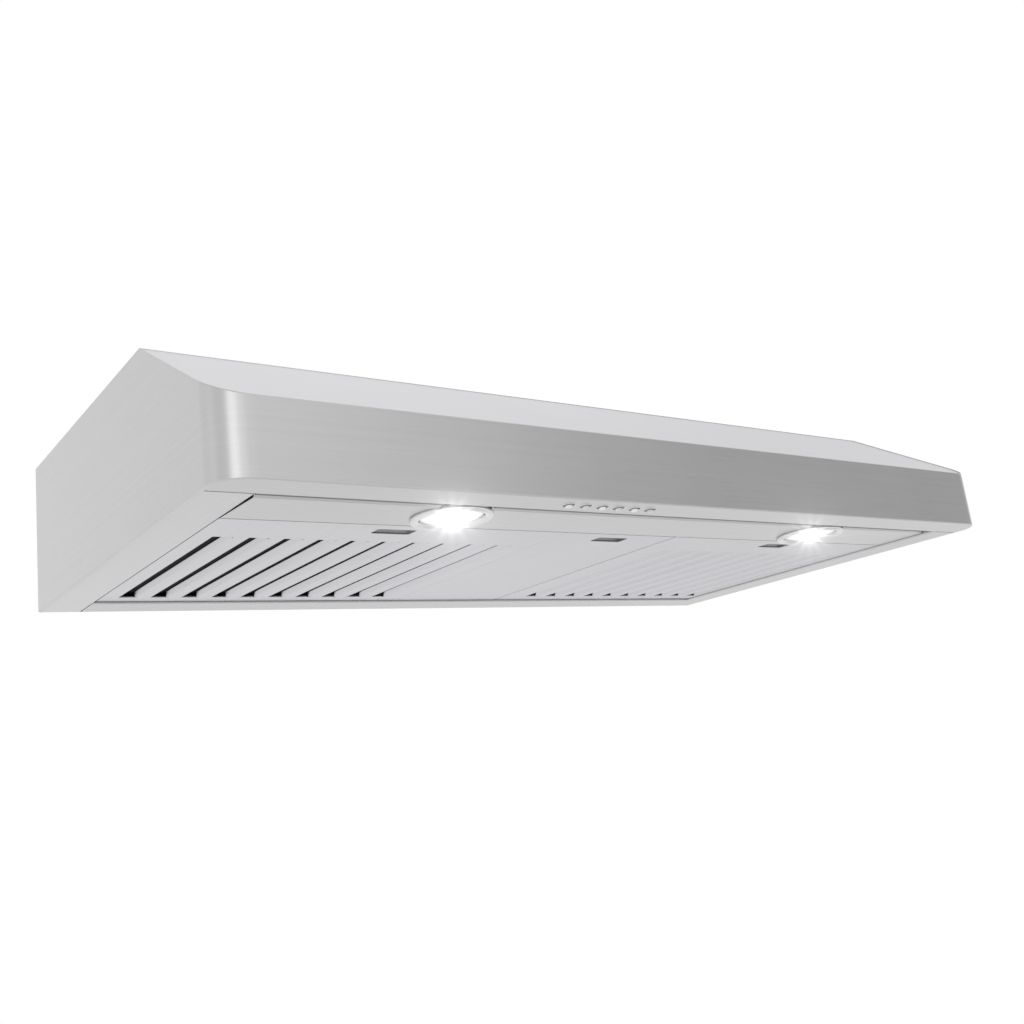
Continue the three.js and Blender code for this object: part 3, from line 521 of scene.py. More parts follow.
def lamp_material():
    """Frosted lens, lit from behind and brightest over the emitter. Its UVs are metres from its centre."""
    material, nodes, links, shader = new_material("lit_lens")
    place = nodes.new("ShaderNodeTexCoord").outputs["Object"]
    prism = noise(nodes, links, place, 900, 1, 0.5)
    shader.inputs["Base Color"].default_value = (0.62, 0.62, 0.62, 1)
    shader.inputs["Roughness"].default_value = 0.35
    shader.inputs["Emission Color"].default_value = (1, 0.99, 0.97, 1)
    uv = nodes.new("ShaderNodeUVMap")
    uv.uv_map = "grain"
    reach = nodes.new("ShaderNodeVectorMath")
    reach.operation = "LENGTH"
    links.new(uv.outputs[0], reach.inputs[0])
    from_centre = reach.outputs["Value"]
    glow = math_node(nodes, links, "MULTIPLY_ADD", prism, 2.0, 11.0)
    fade = soft_step(nodes, links, from_centre, 0.0115, 0.0205, 1, 0.02)
    glow = math_node(nodes, links, "MULTIPLY", glow, fade)
    emitter = soft_step(nodes, links, from_centre, 0.001, 0.006, 4, 0)
    glow = math_node(nodes, links, "MULTIPLY_ADD", emitter, 12.0, glow)
    links.new(glow, shader.inputs["Emission Strength"])
    bump(nodes, links, shader, prism, 0.15, 0.0004)
    return material


def chrome_material(name, low, high):
    """Polished plating with a faint haze."""
    material, nodes, links, shader = new_material(name)
    place = nodes.new("ShaderNodeTexCoord").outputs["Object"]
    haze = noise(nodes, links, place, 60, 3, 0.6)
    stops = [(0.3, (low, low, low + 0.01)), (0.7, (high, high, high + 0.01))]
    links.new(ramp_colour(nodes, links, haze, stops), shader.inputs["Base Color"])
    links.new(math_node(nodes, links, "MULTIPLY_ADD", haze, 0.08, 0.05), shader.inputs["Roughness"])
    shader.inputs["Metallic"].default_value = 1
    return material


# Each look is a material and the record's name for it.
STEEL_TONE = (0.565, 0.565, 0.567)
COOL_TONE = (0.575, 0.573, 0.598)
STEEL = (brushed("brushed_stainless", STEEL_TONE, 0.30), "brushed_stainless")
COOL = (brushed("brushed_stainless_cool", COOL_TONE, 0.32), "brushed_stainless")
ZINC = (galvanised(), "galvanised_steel")
CHROME = (chrome_material("bright_chrome", 0.78, 0.86), "bright_chrome")
RIM_CHROME = (chrome_material("lamp_rim_chrome", 0.6, 0.68), "bright_chrome")
LENS = (lamp_material(), "frosted_lens")
CAST = (grained("cast_aluminium", (0.50, 0.51, 0.52), 0.45, 0.9, 700, 0.15), "cast_aluminium")
# Latch steel darkened, seen only through the finger pulls: painted shade for the recess.
LATCH_SHADE = (grained("latch_steel_painted_shade", (0.34, 0.34, 0.345), 0.42, 0.85, 900, 0.1), "brushed_stainless")
# Dark grey for the strip in the groove behind the lip: painted shade.
GROOVE_SHADE = (grained("groove_strip_painted_shade", (0.11, 0.11, 0.112), 0.5, 0, 1500, 0.15), "black_plastic")
PALE = (grained("pale_plastic", (0.3, 0.3, 0.302), 0.5, 0, 1500, 0.15), "black_plastic")
MESH = (shade_black_mesh_material(), "grease_mesh")
BLACK = (grained("black_plastic", (0.028, 0.028, 0.032), 0.5, 0, 1500, 0.2), "black_plastic")
IVORY = (grained("ivory_plastic", (0.72, 0.71, 0.66), 0.42, 0, 1200, 0.12, 0.04), "ivory_plastic")
BRASS = (grained("turned_brass", (0.62, 0.47, 0.22), 0.32, 1, 900, 0.1), "turned_brass")


# ---------------------------------------------------------------- canopy
def canopy_stations(steps=18):
    """Points and outward normals along the outer face, from the left rear round the front."""
    left = [(-HALF, WALL, -1, 0), (-HALF, SLOPE_START, -1, 0)]
    for i in range(steps + 1):
        a = math.pi / 2 * i / steps
        nx, ny = -math.cos(a), -math.sin(a)
        left.append((-HALF + CORNER + CORNER * nx, FRONT + CORNER + CORNER * ny, nx, ny))
    return left + [(-x, y, -nx, ny) for x, y, nx, ny in reversed(left)]


def plan_line(inset, rear, steps=18):
    """Plan outline of what lies inside the canopy, closed along a rear edge."""
    path = [(x - nx * inset, y - ny * inset) for x, y, nx, ny in canopy_stations(steps)]
    return [(-HALF + inset, rear), *path[2:-2], (HALF - inset, rear)]


def along_canopy(co):
    """Distance round the canopy, so that the grain follows the wrapped sheet."""
    side = 1 if co.x > 0 else -1
    dx = abs(co.x) / MM - (HALF - CORNER)
    dy = FRONT + CORNER - co.y / MM
    if dx <= 0:
        u = abs(co.x) / MM
    elif dy <= 0:
        u = HALF - CORNER + CORNER * math.pi / 2 - dy
    else:
        u = HALF - CORNER + CORNER * math.atan2(dx, dy)
    return side * u * MM, co.z


def fold_arc(radius, steps=5):
    """Points of the fold under the canopy's edge, as (distance inwards, height)."""
    centre = (FOLD, BOTTOM + FOLD)
    turns = [math.pi / 2 * i / steps for i in range(steps + 1)]
    return [(centre[0] - radius * math.cos(a), centre[1] - radius * math.sin(a)) for a in turns]


def canopy_sheet():
    """Sides, corners and front band in one wrapped sheet, folded in along the bottom."""
    soft = 0.2
    rim = [math.pi / 2 * k / 3 for k in range(4)]
    lower = [*fold_arc(FOLD), (RETURN, BOTTOM), (RETURN, BOTTOM + SHEET), *reversed(fold_arc(FOLD - SHEET))]
    rings = []
    for x, y, nx, ny in canopy_stations():
        def at(n, z=None, drop=0.0):
            px, py = x - nx * n, y - ny * n
            return (px, py, slope_z(py) - drop if z is None else z)
        ring = [at(RIM - RIM * math.cos(a), None, RIM - RIM * math.sin(a)) for a in reversed(rim)]
        ring += [at(n, z) for n, z in lower] + [at(SHEET, None, soft), at(SHEET - soft)]
        rings.append(ring)
    return loft(rings)


make("canopy_sheet", [canopy_sheet()], STEEL, "canopy", ("canopy_shell",), along_canopy)

slope_flat = plate(plan_line(INSET, SLOPE_START), -SLOPE_SHEET, 0, soft=0.25)
slope_sheet = moved(slope_flat, lambda x, y, z: (x, y, slope_z(y) + z - SLOPE_DROP))
make("slope_sheet", [slope_sheet], COOL, "canopy", ("slope_panel",))


def keyhole(x, y):
    """A round hole for a screw's head, with a slot towards the wall for its neck."""
    neck = math.degrees(math.asin(KEYHOLE_NECK / KEYHOLE_R))
    head = disc(x, y - KEYHOLE_LENGTH, KEYHOLE_R, 24, 90 + neck, 360 - 2 * neck)
    return head + disc(x, y + 0.2, KEYHOLE_NECK, 10, 0, 180)


top_holes = [disc(0, DUCT_Y, DUCT_R + 0.9, 96), disc(GLAND_X, GLAND_Y, GLAND_HOLE, 32)]
top_holes += [keyhole(x, y) for x in (-KEYHOLE_X, KEYHOLE_X) for y in KEYHOLE_Y]
for k in (1, 3, 5, 7):
    a = math.pi / 4 * k
    top_holes.append(disc(SCREW_CIRCLE * math.cos(a), DUCT_Y + SCREW_CIRCLE * math.sin(a), SCREW_HOLE, 20))
top_outline = rect(-HALF + INSET, SLOPE_START + GAP, HALF - INSET, WALL)
make("top_sheet", [plate(top_outline, -SHEET, 0, top_holes, 0.2)], STEEL, "canopy", ("top_plate",))


def knockout_slits():
    """Dashed cut line round the blank for a rear duct."""
    across = rect(-DASH_HALF, -DASH_WIDTH, DASH_HALF, DASH_WIDTH, 0.45, 3)
    upright = rect(-DASH_WIDTH, -DASH_RISE, DASH_WIDTH, DASH_RISE, 0.45, 3)
    places = []
    for x in range(-BLANK_X, BLANK_X + 1, DASH_PITCH):
        places += [(across, x, z) for z in (BLANK_LOW, BLANK_HIGH)]
    for z in (-84, -60, -36):
        places += [(upright, x, z) for x in (-BLANK_X - 13, BLANK_X + 13)]
    return [[(x + u, z + v) for u, v in dash] for dash, x, z in places]


back_outline = rect(-HALF + INSET, BOTTOM, HALF - INSET, -INSET)
back = along_y(plate(back_outline, WALL - SHEET, WALL, knockout_slits(), 0.2))
rib_loops = []
for d, r in ((RIB_OUT, 6), (RIB_IN, 4)):
    rib_loops.append(rect(-BLANK_X - 10 - d, BLANK_LOW - d, BLANK_X + 10 + d, BLANK_HIGH + d, r))
rib = along_y(plate(rib_loops[0], WALL - RIB_DEPTH, WALL - SHEET, rib_loops[1:], 0.4))
make("back_sheet", [back, rib], ZINC, "canopy", ("back_plate",))


def bottom_flange(side):
    """Folded bottom edge of a side: a flat strip that turns up along its inner edge."""
    x0, z0 = FLANGE_X + FLANGE_BEND, BOTTOM + FLANGE_BEND

    def bend(radius, turns):
        return [(x0 - radius * math.sin(a), z0 - radius * math.cos(a)) for a in turns]

    section = [(HALF - RETURN, BOTTOM), *bend(FLANGE_BEND, (0, 0.52, 1.05, 1.57))]
    section += [(FLANGE_X, BOTTOM + FLANGE_HEIGHT), (FLANGE_X + SHEET, BOTTOM + FLANGE_HEIGHT)]
    section += [*bend(FLANGE_BEND - SHEET, (1.57, 0.78, 0)), (HALF - RETURN, BOTTOM + SHEET)]
    return loft([[(side * x, y, z) for x, z in section] for y in (LIP_REAR + GAP, WALL - INSET)])


make("left_flange_sheet", [bottom_flange(-1)], STEEL, "canopy", ("left_bottom_flange",), grain_y)
make("right_flange_sheet", [bottom_flange(1)], STEEL, "canopy", ("right_bottom_flange",), grain_y)

rail_edge = [(0.8, 0), (0.2, 0.2), (0, 0.8), (0, 3), (1, 3), (1, 1.2), (1.2, 1)]
rail_section = [(WALL - INSET, BOTTOM)]
rail_section += [(RAIL_FRONT + y, BOTTOM + z) for y, z in rail_edge]
rail_section += [(WALL - INSET, BOTTOM + SHEET)]
rail = run_x(rail_section, (-FLANGE_X + GAP, FLANGE_X - GAP))
make("rail_sheet", [rail], STEEL, "canopy", ("rear_rail",))

# ---------------------------------------------------------------- front lip and buttons
button_holes = [disc(x, BUTTON_Y, BUTTON_HOLE, 40) for x in BUTTON_X]
lip = plate(plan_line(RETURN, LIP_REAR - 1), BOTTOM, BOTTOM + SHEET, button_holes, 0)
STEP = [(-1, 0), (-0.4, 0.2), (0, 0.8), (0, 3.6), (0.4, 4), (8, 4), (8, 5), (-0.6, 5), (-1, 4.6)]
ledge = run_x([(LIP_REAR + y, BOTTOM + z) for y, z in STEP], (-FLANGE_X + 2, FLANGE_X - 2))
make("lip_sheet", [lip, ledge], STEEL, "canopy", ("front_lip",))

# Profiles are (radius, height over the hood's underside).
BUTTON_CAP = [(0, -2.4), (1.4, -2.36), (2.2, -2.2), (2.8, -1.8), (3.05, -1.2), (3.1, -0.4),
              (3.1, 1.6), (0, 1.6)]
BUTTON_SKIRT = [(3.1, 0.4), (4.6, 0.4), (4.9, 0.55), (5, 0.9), (5, 2.6), (2, 2.6),
                (2, 9), (0, 9), (0, 1.8), (3.1, 1.8)]
RING = [(5.36, 0.8), (5.36, -0.2), (5.5, -0.4), (5.8, -0.5), (6.15, -0.35), (6.35, -0.02),
        (6.3, 0.4), (5.8, 0.8)]
for i, x in enumerate(BUTTON_X):
    body, spot = f"button_{i + 1}", (x, BUTTON_Y, BOTTOM)
    # Caps 1, 3 and 5 take the brighter chrome and 2, 4 and 6 the duller one: painted reflection, since all
    # six caps have one shape.
    make(f"button_cap_{i + 1}", [revolve(BUTTON_CAP, spot, 36)], CHROME if i % 2 == 0 else RIM_CHROME, body)
    make(f"button_skirt_{i + 1}", [revolve(BUTTON_SKIRT, spot, 36)], PALE, body, (f"push_button_{i + 1}",))
    make(f"button_ring_{i + 1}", [revolve(RING, spot, 40)], RIM_CHROME, "canopy")
refine("switch_block", BLACK, "canopy")

# ---------------------------------------------------------------- light panel and lamps
light_x = (-FLANGE_X + 5.6, FLANGE_X - 1)


def joggle(y):
    """Rise of the light panel's front strip over its flat."""
    share = min(1, max(0, (JOGGLE[1] - y) / (JOGGLE[1] - JOGGLE[0])))
    return JOGGLE_RISE * share * share * (3 - 2 * share)


def light_roll():
    """The light panel's front edge, bent up into a short wall."""
    y0, z0 = LIGHT_FRONT + LIGHT_BEND, PANEL_Z + JOGGLE_RISE + LIGHT_BEND
    turns = [math.pi / 2 * k / 5 for k in range(6)]

    def bend(radius):
        return [(y0 - radius * math.sin(a), z0 - radius * math.cos(a)) for a in turns]

    top = [(LIGHT_FRONT, BOTTOM + 11), (LIGHT_FRONT + SHEET, BOTTOM + 11)]
    return run_x([*bend(LIGHT_BEND), *top, *reversed(bend(LIGHT_BEND - SHEET))], light_x)


light_outline = [(light_x[0], LIGHT_FRONT + LIGHT_BEND), (light_x[1], LIGHT_FRONT + LIGHT_BEND),
                 (light_x[1], LIGHT_REAR), (light_x[0] - 2.4, LIGHT_REAR)]
lamp_holes = [disc(x, LAMP_Y, LAMP_HOLE, 72) for x in LAMP_X.values()]
light_face = plate(light_outline, PANEL_Z, PANEL_Z + SHEET, lamp_holes, 0.15)
light_face = creased(light_face, [JOGGLE[0] + (JOGGLE[1] - JOGGLE[0]) * k / 5 for k in range(6)])
light_face = moved(light_face, lambda x, y, z: (x, y, z + joggle(y)))
strike_slots = [rect(x - BOLT_HALF, BOLT_LOW, x + BOLT_HALF, BOLT_HIGH) for x in (-PULL_X, 0, PULL_X)]
web_outline = rect(light_x[0] - 2, PANEL_Z + SHEET, light_x[1], BOTTOM + 16)
light_web = plate(web_outline, LIGHT_REAR - SHEET, LIGHT_REAR, strike_slots)
make("light_sheet", [light_face, light_roll(), along_y(light_web)], STEEL, "canopy", ("light_panel",))

# A dark grey strip laid on the lip's ledge, gapped at the lamps, so that the groove behind the lip reads
# dark: painted shade.
GROOVE_STRIP = [(1, 3.3), (13.3, 3.3), (13.3, 5.25), (8.1, 5.25), (8.1, 3.95), (1, 3.95)]
groove_strip_section = [(LIP_REAR + y, BOTTOM + z) for y, z in GROOVE_STRIP]
lamp_gaps = [x + side * 25 for x in LAMP_X.values() for side in (-1, 1)]
groove_strip_ends = [light_x[0], *lamp_gaps, light_x[1]]
groove_strips = [run_x(groove_strip_section, ends) for ends in zip(groove_strip_ends[::2], groove_strip_ends[1::2])]
make("groove_shade_strip", groove_strips, GROOVE_SHADE, "canopy")

BEZEL = [(26.6, 1.2), (27.6, -0.4), (28.8, -1.3), (30.2, -1.9), (31.6, -2.2), (33, -2.1),
         (34.2, -1.5), (35, -0.6), (35.3, 0.6), (35.3, 1.7), (30, 1.7), (30, 13), (26.6, 13)]
LENS_PROFILE = [(0, -0.3), (8, -0.2), (16, 0.2), (22, 0.8), (25.4, 1.4), (26.4, 2),
                (26.4, 4), (0, 4)]
for name, x in LAMP_X.items():
    spot = (x, LAMP_Y, BOTTOM)
    shim_outline = disc(x, LAMP_Y, SHIM_R, 30, SHIM_START, SHIM_SWEEP)
    shim_outline += disc(x, LAMP_Y, LAMP_HOLE + 0.1, 30, SHIM_START + SHIM_SWEEP, -SHIM_SWEEP)
    shim = plate(shim_outline, BOTTOM + SHIM_LOW, PANEL_Z + JOGGLE_RISE, soft=0.2)
    bezel = revolve(BEZEL, spot, 96)
    make(f"{name}_bezel_ring", [bezel, shim], RIM_CHROME, "canopy", (f"{name}_light_bezel",))
    make(f"{name}_lens_disc", [revolve(LENS_PROFILE, spot, 72)], LENS, "canopy", (f"{name}_light_lens",),
         lambda co: (co.x - x * MM, co.y - LAMP_Y * MM))
    refine(f"{name}_led_module", CAST, "canopy", 0.4)
refine("led_driver", IVORY, "canopy", 0.8)


# ---------------------------------------------------------------- filters
def lance(hinge):
    """A strip's edge, turned up along its slot at 45 degrees, tapering down at both ends."""
    outer = [(1.6, 0), (1.0, 0.12), (0.4, 0.5), (-LANCE_R, LANCE_H - 0.7), (-LANCE_R - 0.05, LANCE_H - 0.35)]
    inner = [(-LANCE_R + 0.3, LANCE_H), (-LANCE_R + 0.8, LANCE_H - 0.1), (1.0, 1.3), (1.6, SHEET)]
    taper = ((SLOT_FRONT + 0.4, 0.3), (SLOT_FRONT + 5, 1), (SLOT_REAR - 6.5, 1), (SLOT_REAR - 1, 0.2))
    rings = []
    for y, share in taper:
        low = [(hinge + u * share, y, PANEL_Z + w * share) for u, w in outer]
        high = [(hinge + u * share, y, PANEL_Z + SHEET + (w - SHEET) * share) for u, w in inner]
        rings.append(low + high)
    return loft(rings)


def pan_parts(ends, pull, hook_xs, first_slot=None):
    """A shallow pan: face, walls, rear hooks, spring seat and, with a first slot, a row of lanced slots."""
    x0, x1 = ends
    slots = [] if first_slot is None else [first_slot + i * SLOT_PITCH for i in range(SLOT_COUNT)]
    holes = [rect(x, SLOT_FRONT, x + SLOT_CLEAR + LANCE_R + 1.5, SLOT_REAR, 0) for x in slots]
    holes.append(rect(pull - PULL_HALF, PULL_FRONT, pull + PULL_HALF, PULL_REAR, 2.2))
    low, high = PANEL_Z + SHEET, PAN_TOP
    face = plate(rect(x0, PAN_FRONT, x1, PAN_REAR, 0.8, 2), PANEL_Z, low, holes, 0.2)
    bolt = rect(pull - BOLT_HALF, BOLT_LOW, pull + BOLT_HALF, BOLT_HIGH)
    walls = [
        along_x(plate(rect(PAN_FRONT + SHEET, low, PAN_REAR - SHEET, high), x0, x0 + SHEET)),
        along_x(plate(rect(PAN_FRONT + SHEET, low, PAN_REAR - SHEET, high), x1 - SHEET, x1)),
        along_y(plate(rect(x0, low, x1, high), PAN_FRONT, PAN_FRONT + SHEET, [bolt])),
        along_y(plate(rect(x0, low, x1, high), PAN_REAR - SHEET, PAN_REAR)),
    ]
    hooks = []
    for x in hook_xs:
        hook = rect(x - HOOK_HALF, PAN_REAR - SHEET, x + HOOK_HALF, PAN_REAR + HOOK_REACH, 3)
        hooks.append(plate(hook, BOTTOM + HOOK_Z, BOTTOM + HOOK_Z + SHEET))
    seat = along_y(plate(rect(pull - SEAT_HALF, low, pull + SEAT_HALF, high, 1), SEAT_Y, SEAT_Y + SHEET))
    lances = [lance(x + SLOT_CLEAR + LANCE_R) for x in slots]
    return [face, *walls, *hooks, seat, *lances]


left_pan = pan_parts(LEFT_PAN, -PULL_X, LEFT_HOOKS, LEFT_SLOTS)
make("left_filter_sheet", left_pan, COOL, "left_filter", ("left_filter_panel",), grain_y)
right_pan = pan_parts(RIGHT_PAN, PULL_X, RIGHT_HOOKS, RIGHT_SLOTS)
make("right_filter_sheet", right_pan, COOL, "right_filter", ("right_filter_panel",), grain_y)
centre_pan = pan_parts(CENTRE_PAN, 0, CENTRE_HOOKS)
make("centre_sheet", centre_pan, COOL, "centre_filter", ("centre_panel",), grain_y)


def latch_coil(x):
    """A latch's compression spring, from its seat on the pan to the latch."""
    points = []
    for k in range(COIL_TURNS * COIL_STEPS + 1):
        a = 2 * math.pi * k / COIL_STEPS
        y = SPRING_REAR + (SPRING_FRONT - SPRING_REAR) * k / (COIL_TURNS * COIL_STEPS)
        points.append((x + COIL_R * math.cos(a), y, SPRING_Z + COIL_R * math.sin(a)))
    return tube(points, COIL_WIRE, 8)


for name, x in (("left", -PULL_X), ("centre", 0), ("right", PULL_X)):
    refine(f"{name}_latch", LATCH_SHADE, f"{name}_latch_slide")
    spring = shape(f"{name}_latch_coil", [latch_coil(x)], CHROME)
    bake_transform(spring)
    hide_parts(f"{name}_latch_spring")


# ---------------------------------------------------------------- blower
def volute(offset, steps=64):
    """Side view of the scroll, opening upwards: its radius grows steadily from the tongue."""
    start = SCROLL_START / math.cos(SCROLL_TONGUE)
    points = []
    for i in range(steps + 1):
        turned_by = (SCROLL_TONGUE + math.pi) * i / steps
        r = start + SCROLL_GROWTH * turned_by + offset
        a = SCROLL_TONGUE - turned_by
        points.append((FAN_Y - r * math.cos(a), FAN_Z + r * math.sin(a)))
    return [(points[0][0], SCROLL_TOP), *points, (points[-1][0], SCROLL_TOP)]


FAN = (0, FAN_Y, FAN_Z)
INLET = [(39, 51.3), (40.2, 51.3), (40.6, 54), (42.4, 56.0), (45, 56.4), (48, 56.4), (48, 57.4),
         (44.6, 57.6), (41.6, 57.2), (39.6, 55)]
wrap_half = SCROLL_SIDE - GAP
wrap = plate(volute(1.2) + volute(0)[::-1], -wrap_half, wrap_half, soft=0.2)
make("scroll_band", [along_x(wrap)], ZINC, "canopy", ("scroll_wrap",))
for side, name in ((-1, "left"), (1, "right")):
    x0, x1 = sorted((side * SCROLL_SIDE, side * (SCROLL_SIDE + SHEET)))
    cheek = along_x(plate(volute(4), x0, x1, [disc(FAN_Y, FAN_Z, EYE_R, 72)], 0.3))
    make(f"scroll_{name}_cheek", [cheek], ZINC, "canopy", (f"scroll_{name}_side",))
    ring = [(r, side * h) for r, h in INLET]
    make(f"{name}_inlet_mouth", [revolve(ring, FAN, 72, "x")], ZINC, "canopy", (f"{name}_inlet_ring",))


def wheel():
    """Double-inlet wheel: two rims, a web in the middle and forward-curved blades."""
    rims = []
    for x0, x1 in ((-WHEEL_HALF, -WHEEL_HALF + WHEEL_RIM), (WHEEL_HALF - WHEEL_RIM, WHEEL_HALF)):
        rims.append(revolve([(WHEEL_IN, x0), (WHEEL_OUT, x0), (WHEEL_OUT, x1), (WHEEL_IN, x1)], FAN, 72, "x"))
    web = revolve([(11.6, -0.8), (45, -0.8), (45, 0.8), (11.6, 0.8)], FAN, 72, "x")
    section = [(38.4, 0), (40.4, 0.4), (42.4, 1.6), (44.6, 4.2),
               (44.2, 4.6), (41.8, 2.4), (40.0, 1.1), (38.3, 0.7)]
    blades = []
    for k in range(BLADES):
        a = 2 * math.pi * k / BLADES
        cos, sin = math.cos(a), math.sin(a)
        turned = [(u * cos - v * sin + FAN_Y, u * sin + v * cos + FAN_Z) for u, v in section]
        blades.append(run_x(turned, (-WHEEL_HALF + 1, WHEEL_HALF - 1)))
    return [*rims, web, *blades]


make("fan_wheel", wheel(), ZINC, "rotor", ("impeller",))
MOTOR_CAN = [(0, -126), (10, -126), (12, -125), (25, -125.6), (31, -123.5), (33, -120), (33, -106.2),
             (35.6, -106), (36, -105), (36, -91), (35.6, -90), (33, -89.8), (33, -76), (31, -72), (26, -70),
             (9, -70), (8.4, -70.6), (4.3, -70.6), (4.3, -98), (0, -98)]
MOTOR_BOLT = [(0, -128), (2.6, -127.6), (3, -126.6), (3, -123), (0, -123)]
motor_bolts = []
for k in range(4):
    a = math.pi / 4 + math.pi / 2 * k
    spot = (0, FAN_Y + MOTOR_BOLT_CIRCLE * math.cos(a), FAN_Z + MOTOR_BOLT_CIRCLE * math.sin(a))
    motor_bolts.append(revolve(MOTOR_BOLT, spot, 16, "x"))
make("motor_can", [revolve(MOTOR_CAN, FAN, 72, "x"), *motor_bolts], CAST, "canopy", ("motor",))
CAPACITOR = [(0, -150), (13.8, -150), (14.8, -149.4), (15, -148), (15, -104), (14.4, -102.6), (12, -102),
             (4.2, -101.8), (4, -97.4), (3.4, -97), (0, -97)]
capacitor = revolve(CAPACITOR, (0, CAPACITOR_Y, CAPACITOR_Z), 48, "x")
make("capacitor_can", [capacitor], IVORY, "canopy", ("run_capacitor",))
for node in ("motor_bracket", "bearing_bracket"):
    refine(node, ZINC, "canopy")
refine("impeller_hub", BRASS, "rotor")
refine("motor_shaft", CHROME, "rotor")
refine("shaft_bearing", BRASS, "canopy", 0.2)

# ---------------------------------------------------------------- duct collar and dampers
collar_in = DUCT_R - SHEET
COLLAR = [(collar_in, -2.5), (88, -2.5), (88, -1.4), (75.4, -1.4), (74.6, -0.8), (DUCT_R, 0.4), (DUCT_R, 26),
          (73.9, 27), (73.9, 28.4), (DUCT_R, 29.4), (DUCT_R, DUCT_H - 0.4), (74.3, DUCT_H), (73.7, DUCT_H),
          (collar_in, DUCT_H - 0.4), (collar_in, 29.6), (72.9, 28.6), (72.9, 26.8), (collar_in, 25.8)]
make("collar_tube", [revolve(COLLAR, (0, DUCT_Y, 0), 128)], ZINC, "canopy", ("duct_collar",), sharp=40)


def flap(side, knuckle):
    """Half a disc with two stiffening ribs, hung on the rod by two eyes."""
    half = disc(0, 0, FLAP_R, 48, FLAP_START, FLAP_SWEEP)
    parts = [plate([(x, side * y) for x, y in half], FLAP_LOW, FLAP_HIGH, soft=0.2)]
    near, far = sorted((side * 14, side * 58))
    parts += [plate(rect(x - 2, near, x + 2, far, 1.9), -2.8, -2.1, soft=0.35) for x in (-20, 20)]
    for x in (-knuckle, knuckle):
        eye = [(2.5, -7), (3.6, -7), (3.8, -6.8), (3.8, 6.8), (3.6, 7), (2.5, 7)]
        parts.append(revolve([(r, x + h) for r, h in eye], (0, 0, 0), 28, "x"))
        parts.append(plate(rect(x - 7, min(0, side * 6), x + 7, max(0, side * 6)), FLAP_LOW, FLAP_HIGH))
    return [moved(part, lambda x, y, z: (x, y + DUCT_Y, z + ROD_Z)) for part in parts]


make("front_flap", flap(-1, 50), ZINC, "front_damper", ("front_damper_flap",))
make("rear_flap", flap(1, 30), ZINC, "rear_damper", ("rear_damper_flap",))
refine("damper_rod", CHROME, "canopy")
for k in range(4):
    refine(f"collar_screw_{k + 1}", CHROME, "canopy")

# ---------------------------------------------------------------- wiring
for node, look in (("junction_box", ZINC), ("junction_box_cover", ZINC), ("terminal_block", IVORY)):
    refine(node, look, "canopy", 0.4)
GLAND = [(7.5, -16), (13.4, -16), (14, -15.4), (14, -9.6), (13.4, -9), (10.6, -9), (10.6, 0.3), (10.9, 0.6),
         (10.9, 6.4), (10.2, 8), (9, 9), (7.9, 9), (7.5, 8.4)]
gland_nut = plate(disc(GLAND_X, GLAND_Y, 12.4, 6), 0.3, 5.5, [disc(GLAND_X, GLAND_Y, 10, 36)], 0.5)
gland_tube = revolve(GLAND, (GLAND_X, GLAND_Y, 0), 48)
make("gland_body", [gland_tube, gland_nut], BLACK, "canopy", ("cable_gland",))

loom_route = [(284, -34, -34), (260, -38, -40), (225, -108, -16), (180, -230, -8), (90, -300, -30),
              (30, -370, -90), (0, -415, -124), (-22, BUTTON_Y, -134.5), (-29.5, BUTTON_Y, -134.5)]
WIRES, WIRE_R, WIRE_SPREAD, WIRE_TWIST = 3, 1.2, 1.25, 0.35


def wire(k):
    """One strand of the loom, laid loosely round the others."""
    strand = []
    for i, p in enumerate(spline(loom_route, 10)):
        a = i * WIRE_TWIST + k * 2 * math.pi / WIRES
        strand.append(p + Vector((math.cos(a), math.sin(a) * 0.6, math.sin(a))) * WIRE_SPREAD)
    return tube(strand, WIRE_R, 10)


make("loom_wires", [wire(k) for k in range(WIRES)], BLACK, "canopy", ("wiring_loom",))

# The filter meshes take the near-black mesh material: painted shade behind the slots.
for node in ("left_filter_mesh", "right_filter_mesh"):
    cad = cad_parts[node]
    cad.data.materials.clear()
    cad.data.materials.append(MESH[0])

# ---------------------------------------------------------------- floor, light and camera
bpy.ops.mesh.primitive_plane_add(size=400, location=(0, 0, -1.7))
floor = bpy.context.object
floor.name = "floor"
floor_material, floor_nodes, floor_links, floor_shader = new_material("pale_floor")
floor_shader.inputs["Roughness"].default_value = 0.9
floor_shader.inputs["Emission Color"].default_value = (1, 1, 1, 1)
floor_place = floor_nodes.new("ShaderNodeTexCoord").outputs["Object"]


def patch(centre, near, far, inside, outside):
    """A soft round patch of the floor: one value inside, another outside."""
    spread = floor_nodes.new("ShaderNodeVectorMath")
    spread.operation = "DISTANCE"
    spread.inputs[1].default_value = (*centre, 0)
    floor_links.new(floor_place, spread.inputs[0])
    return soft_step(floor_nodes, floor_links, spread.outputs["Value"], near, far, inside, outside)


# The floor is seamless white to the camera, and grey with two soft patches in the steel's reflections.
glossy = floor_nodes.new("ShaderNodeLightPath").outputs["Is Glossy Ray"]
direct = math_node(floor_nodes, floor_links, "SUBTRACT", 1.0, glossy)
card = math_node(floor_nodes, floor_links, "MAXIMUM", patch((1.2, -1.2), 0.8, 2.4, 0.8, 1), direct)
pale = math_node(floor_nodes, floor_links, "MULTIPLY", card, 0.93)
floor_links.new(pale, floor_shader.inputs["Base Color"])
seen = math_node(floor_nodes, floor_links, "MULTIPLY", direct, 0.2)
bright = math_node(floor_nodes, floor_links, "MAXIMUM", patch((-1.2, 2.4), 0.6, 3.0, 0.23, 0.11), seen)
floor_links.new(bright, floor_shader.inputs["Emission Strength"])
floor.data.materials.append(floor_material)

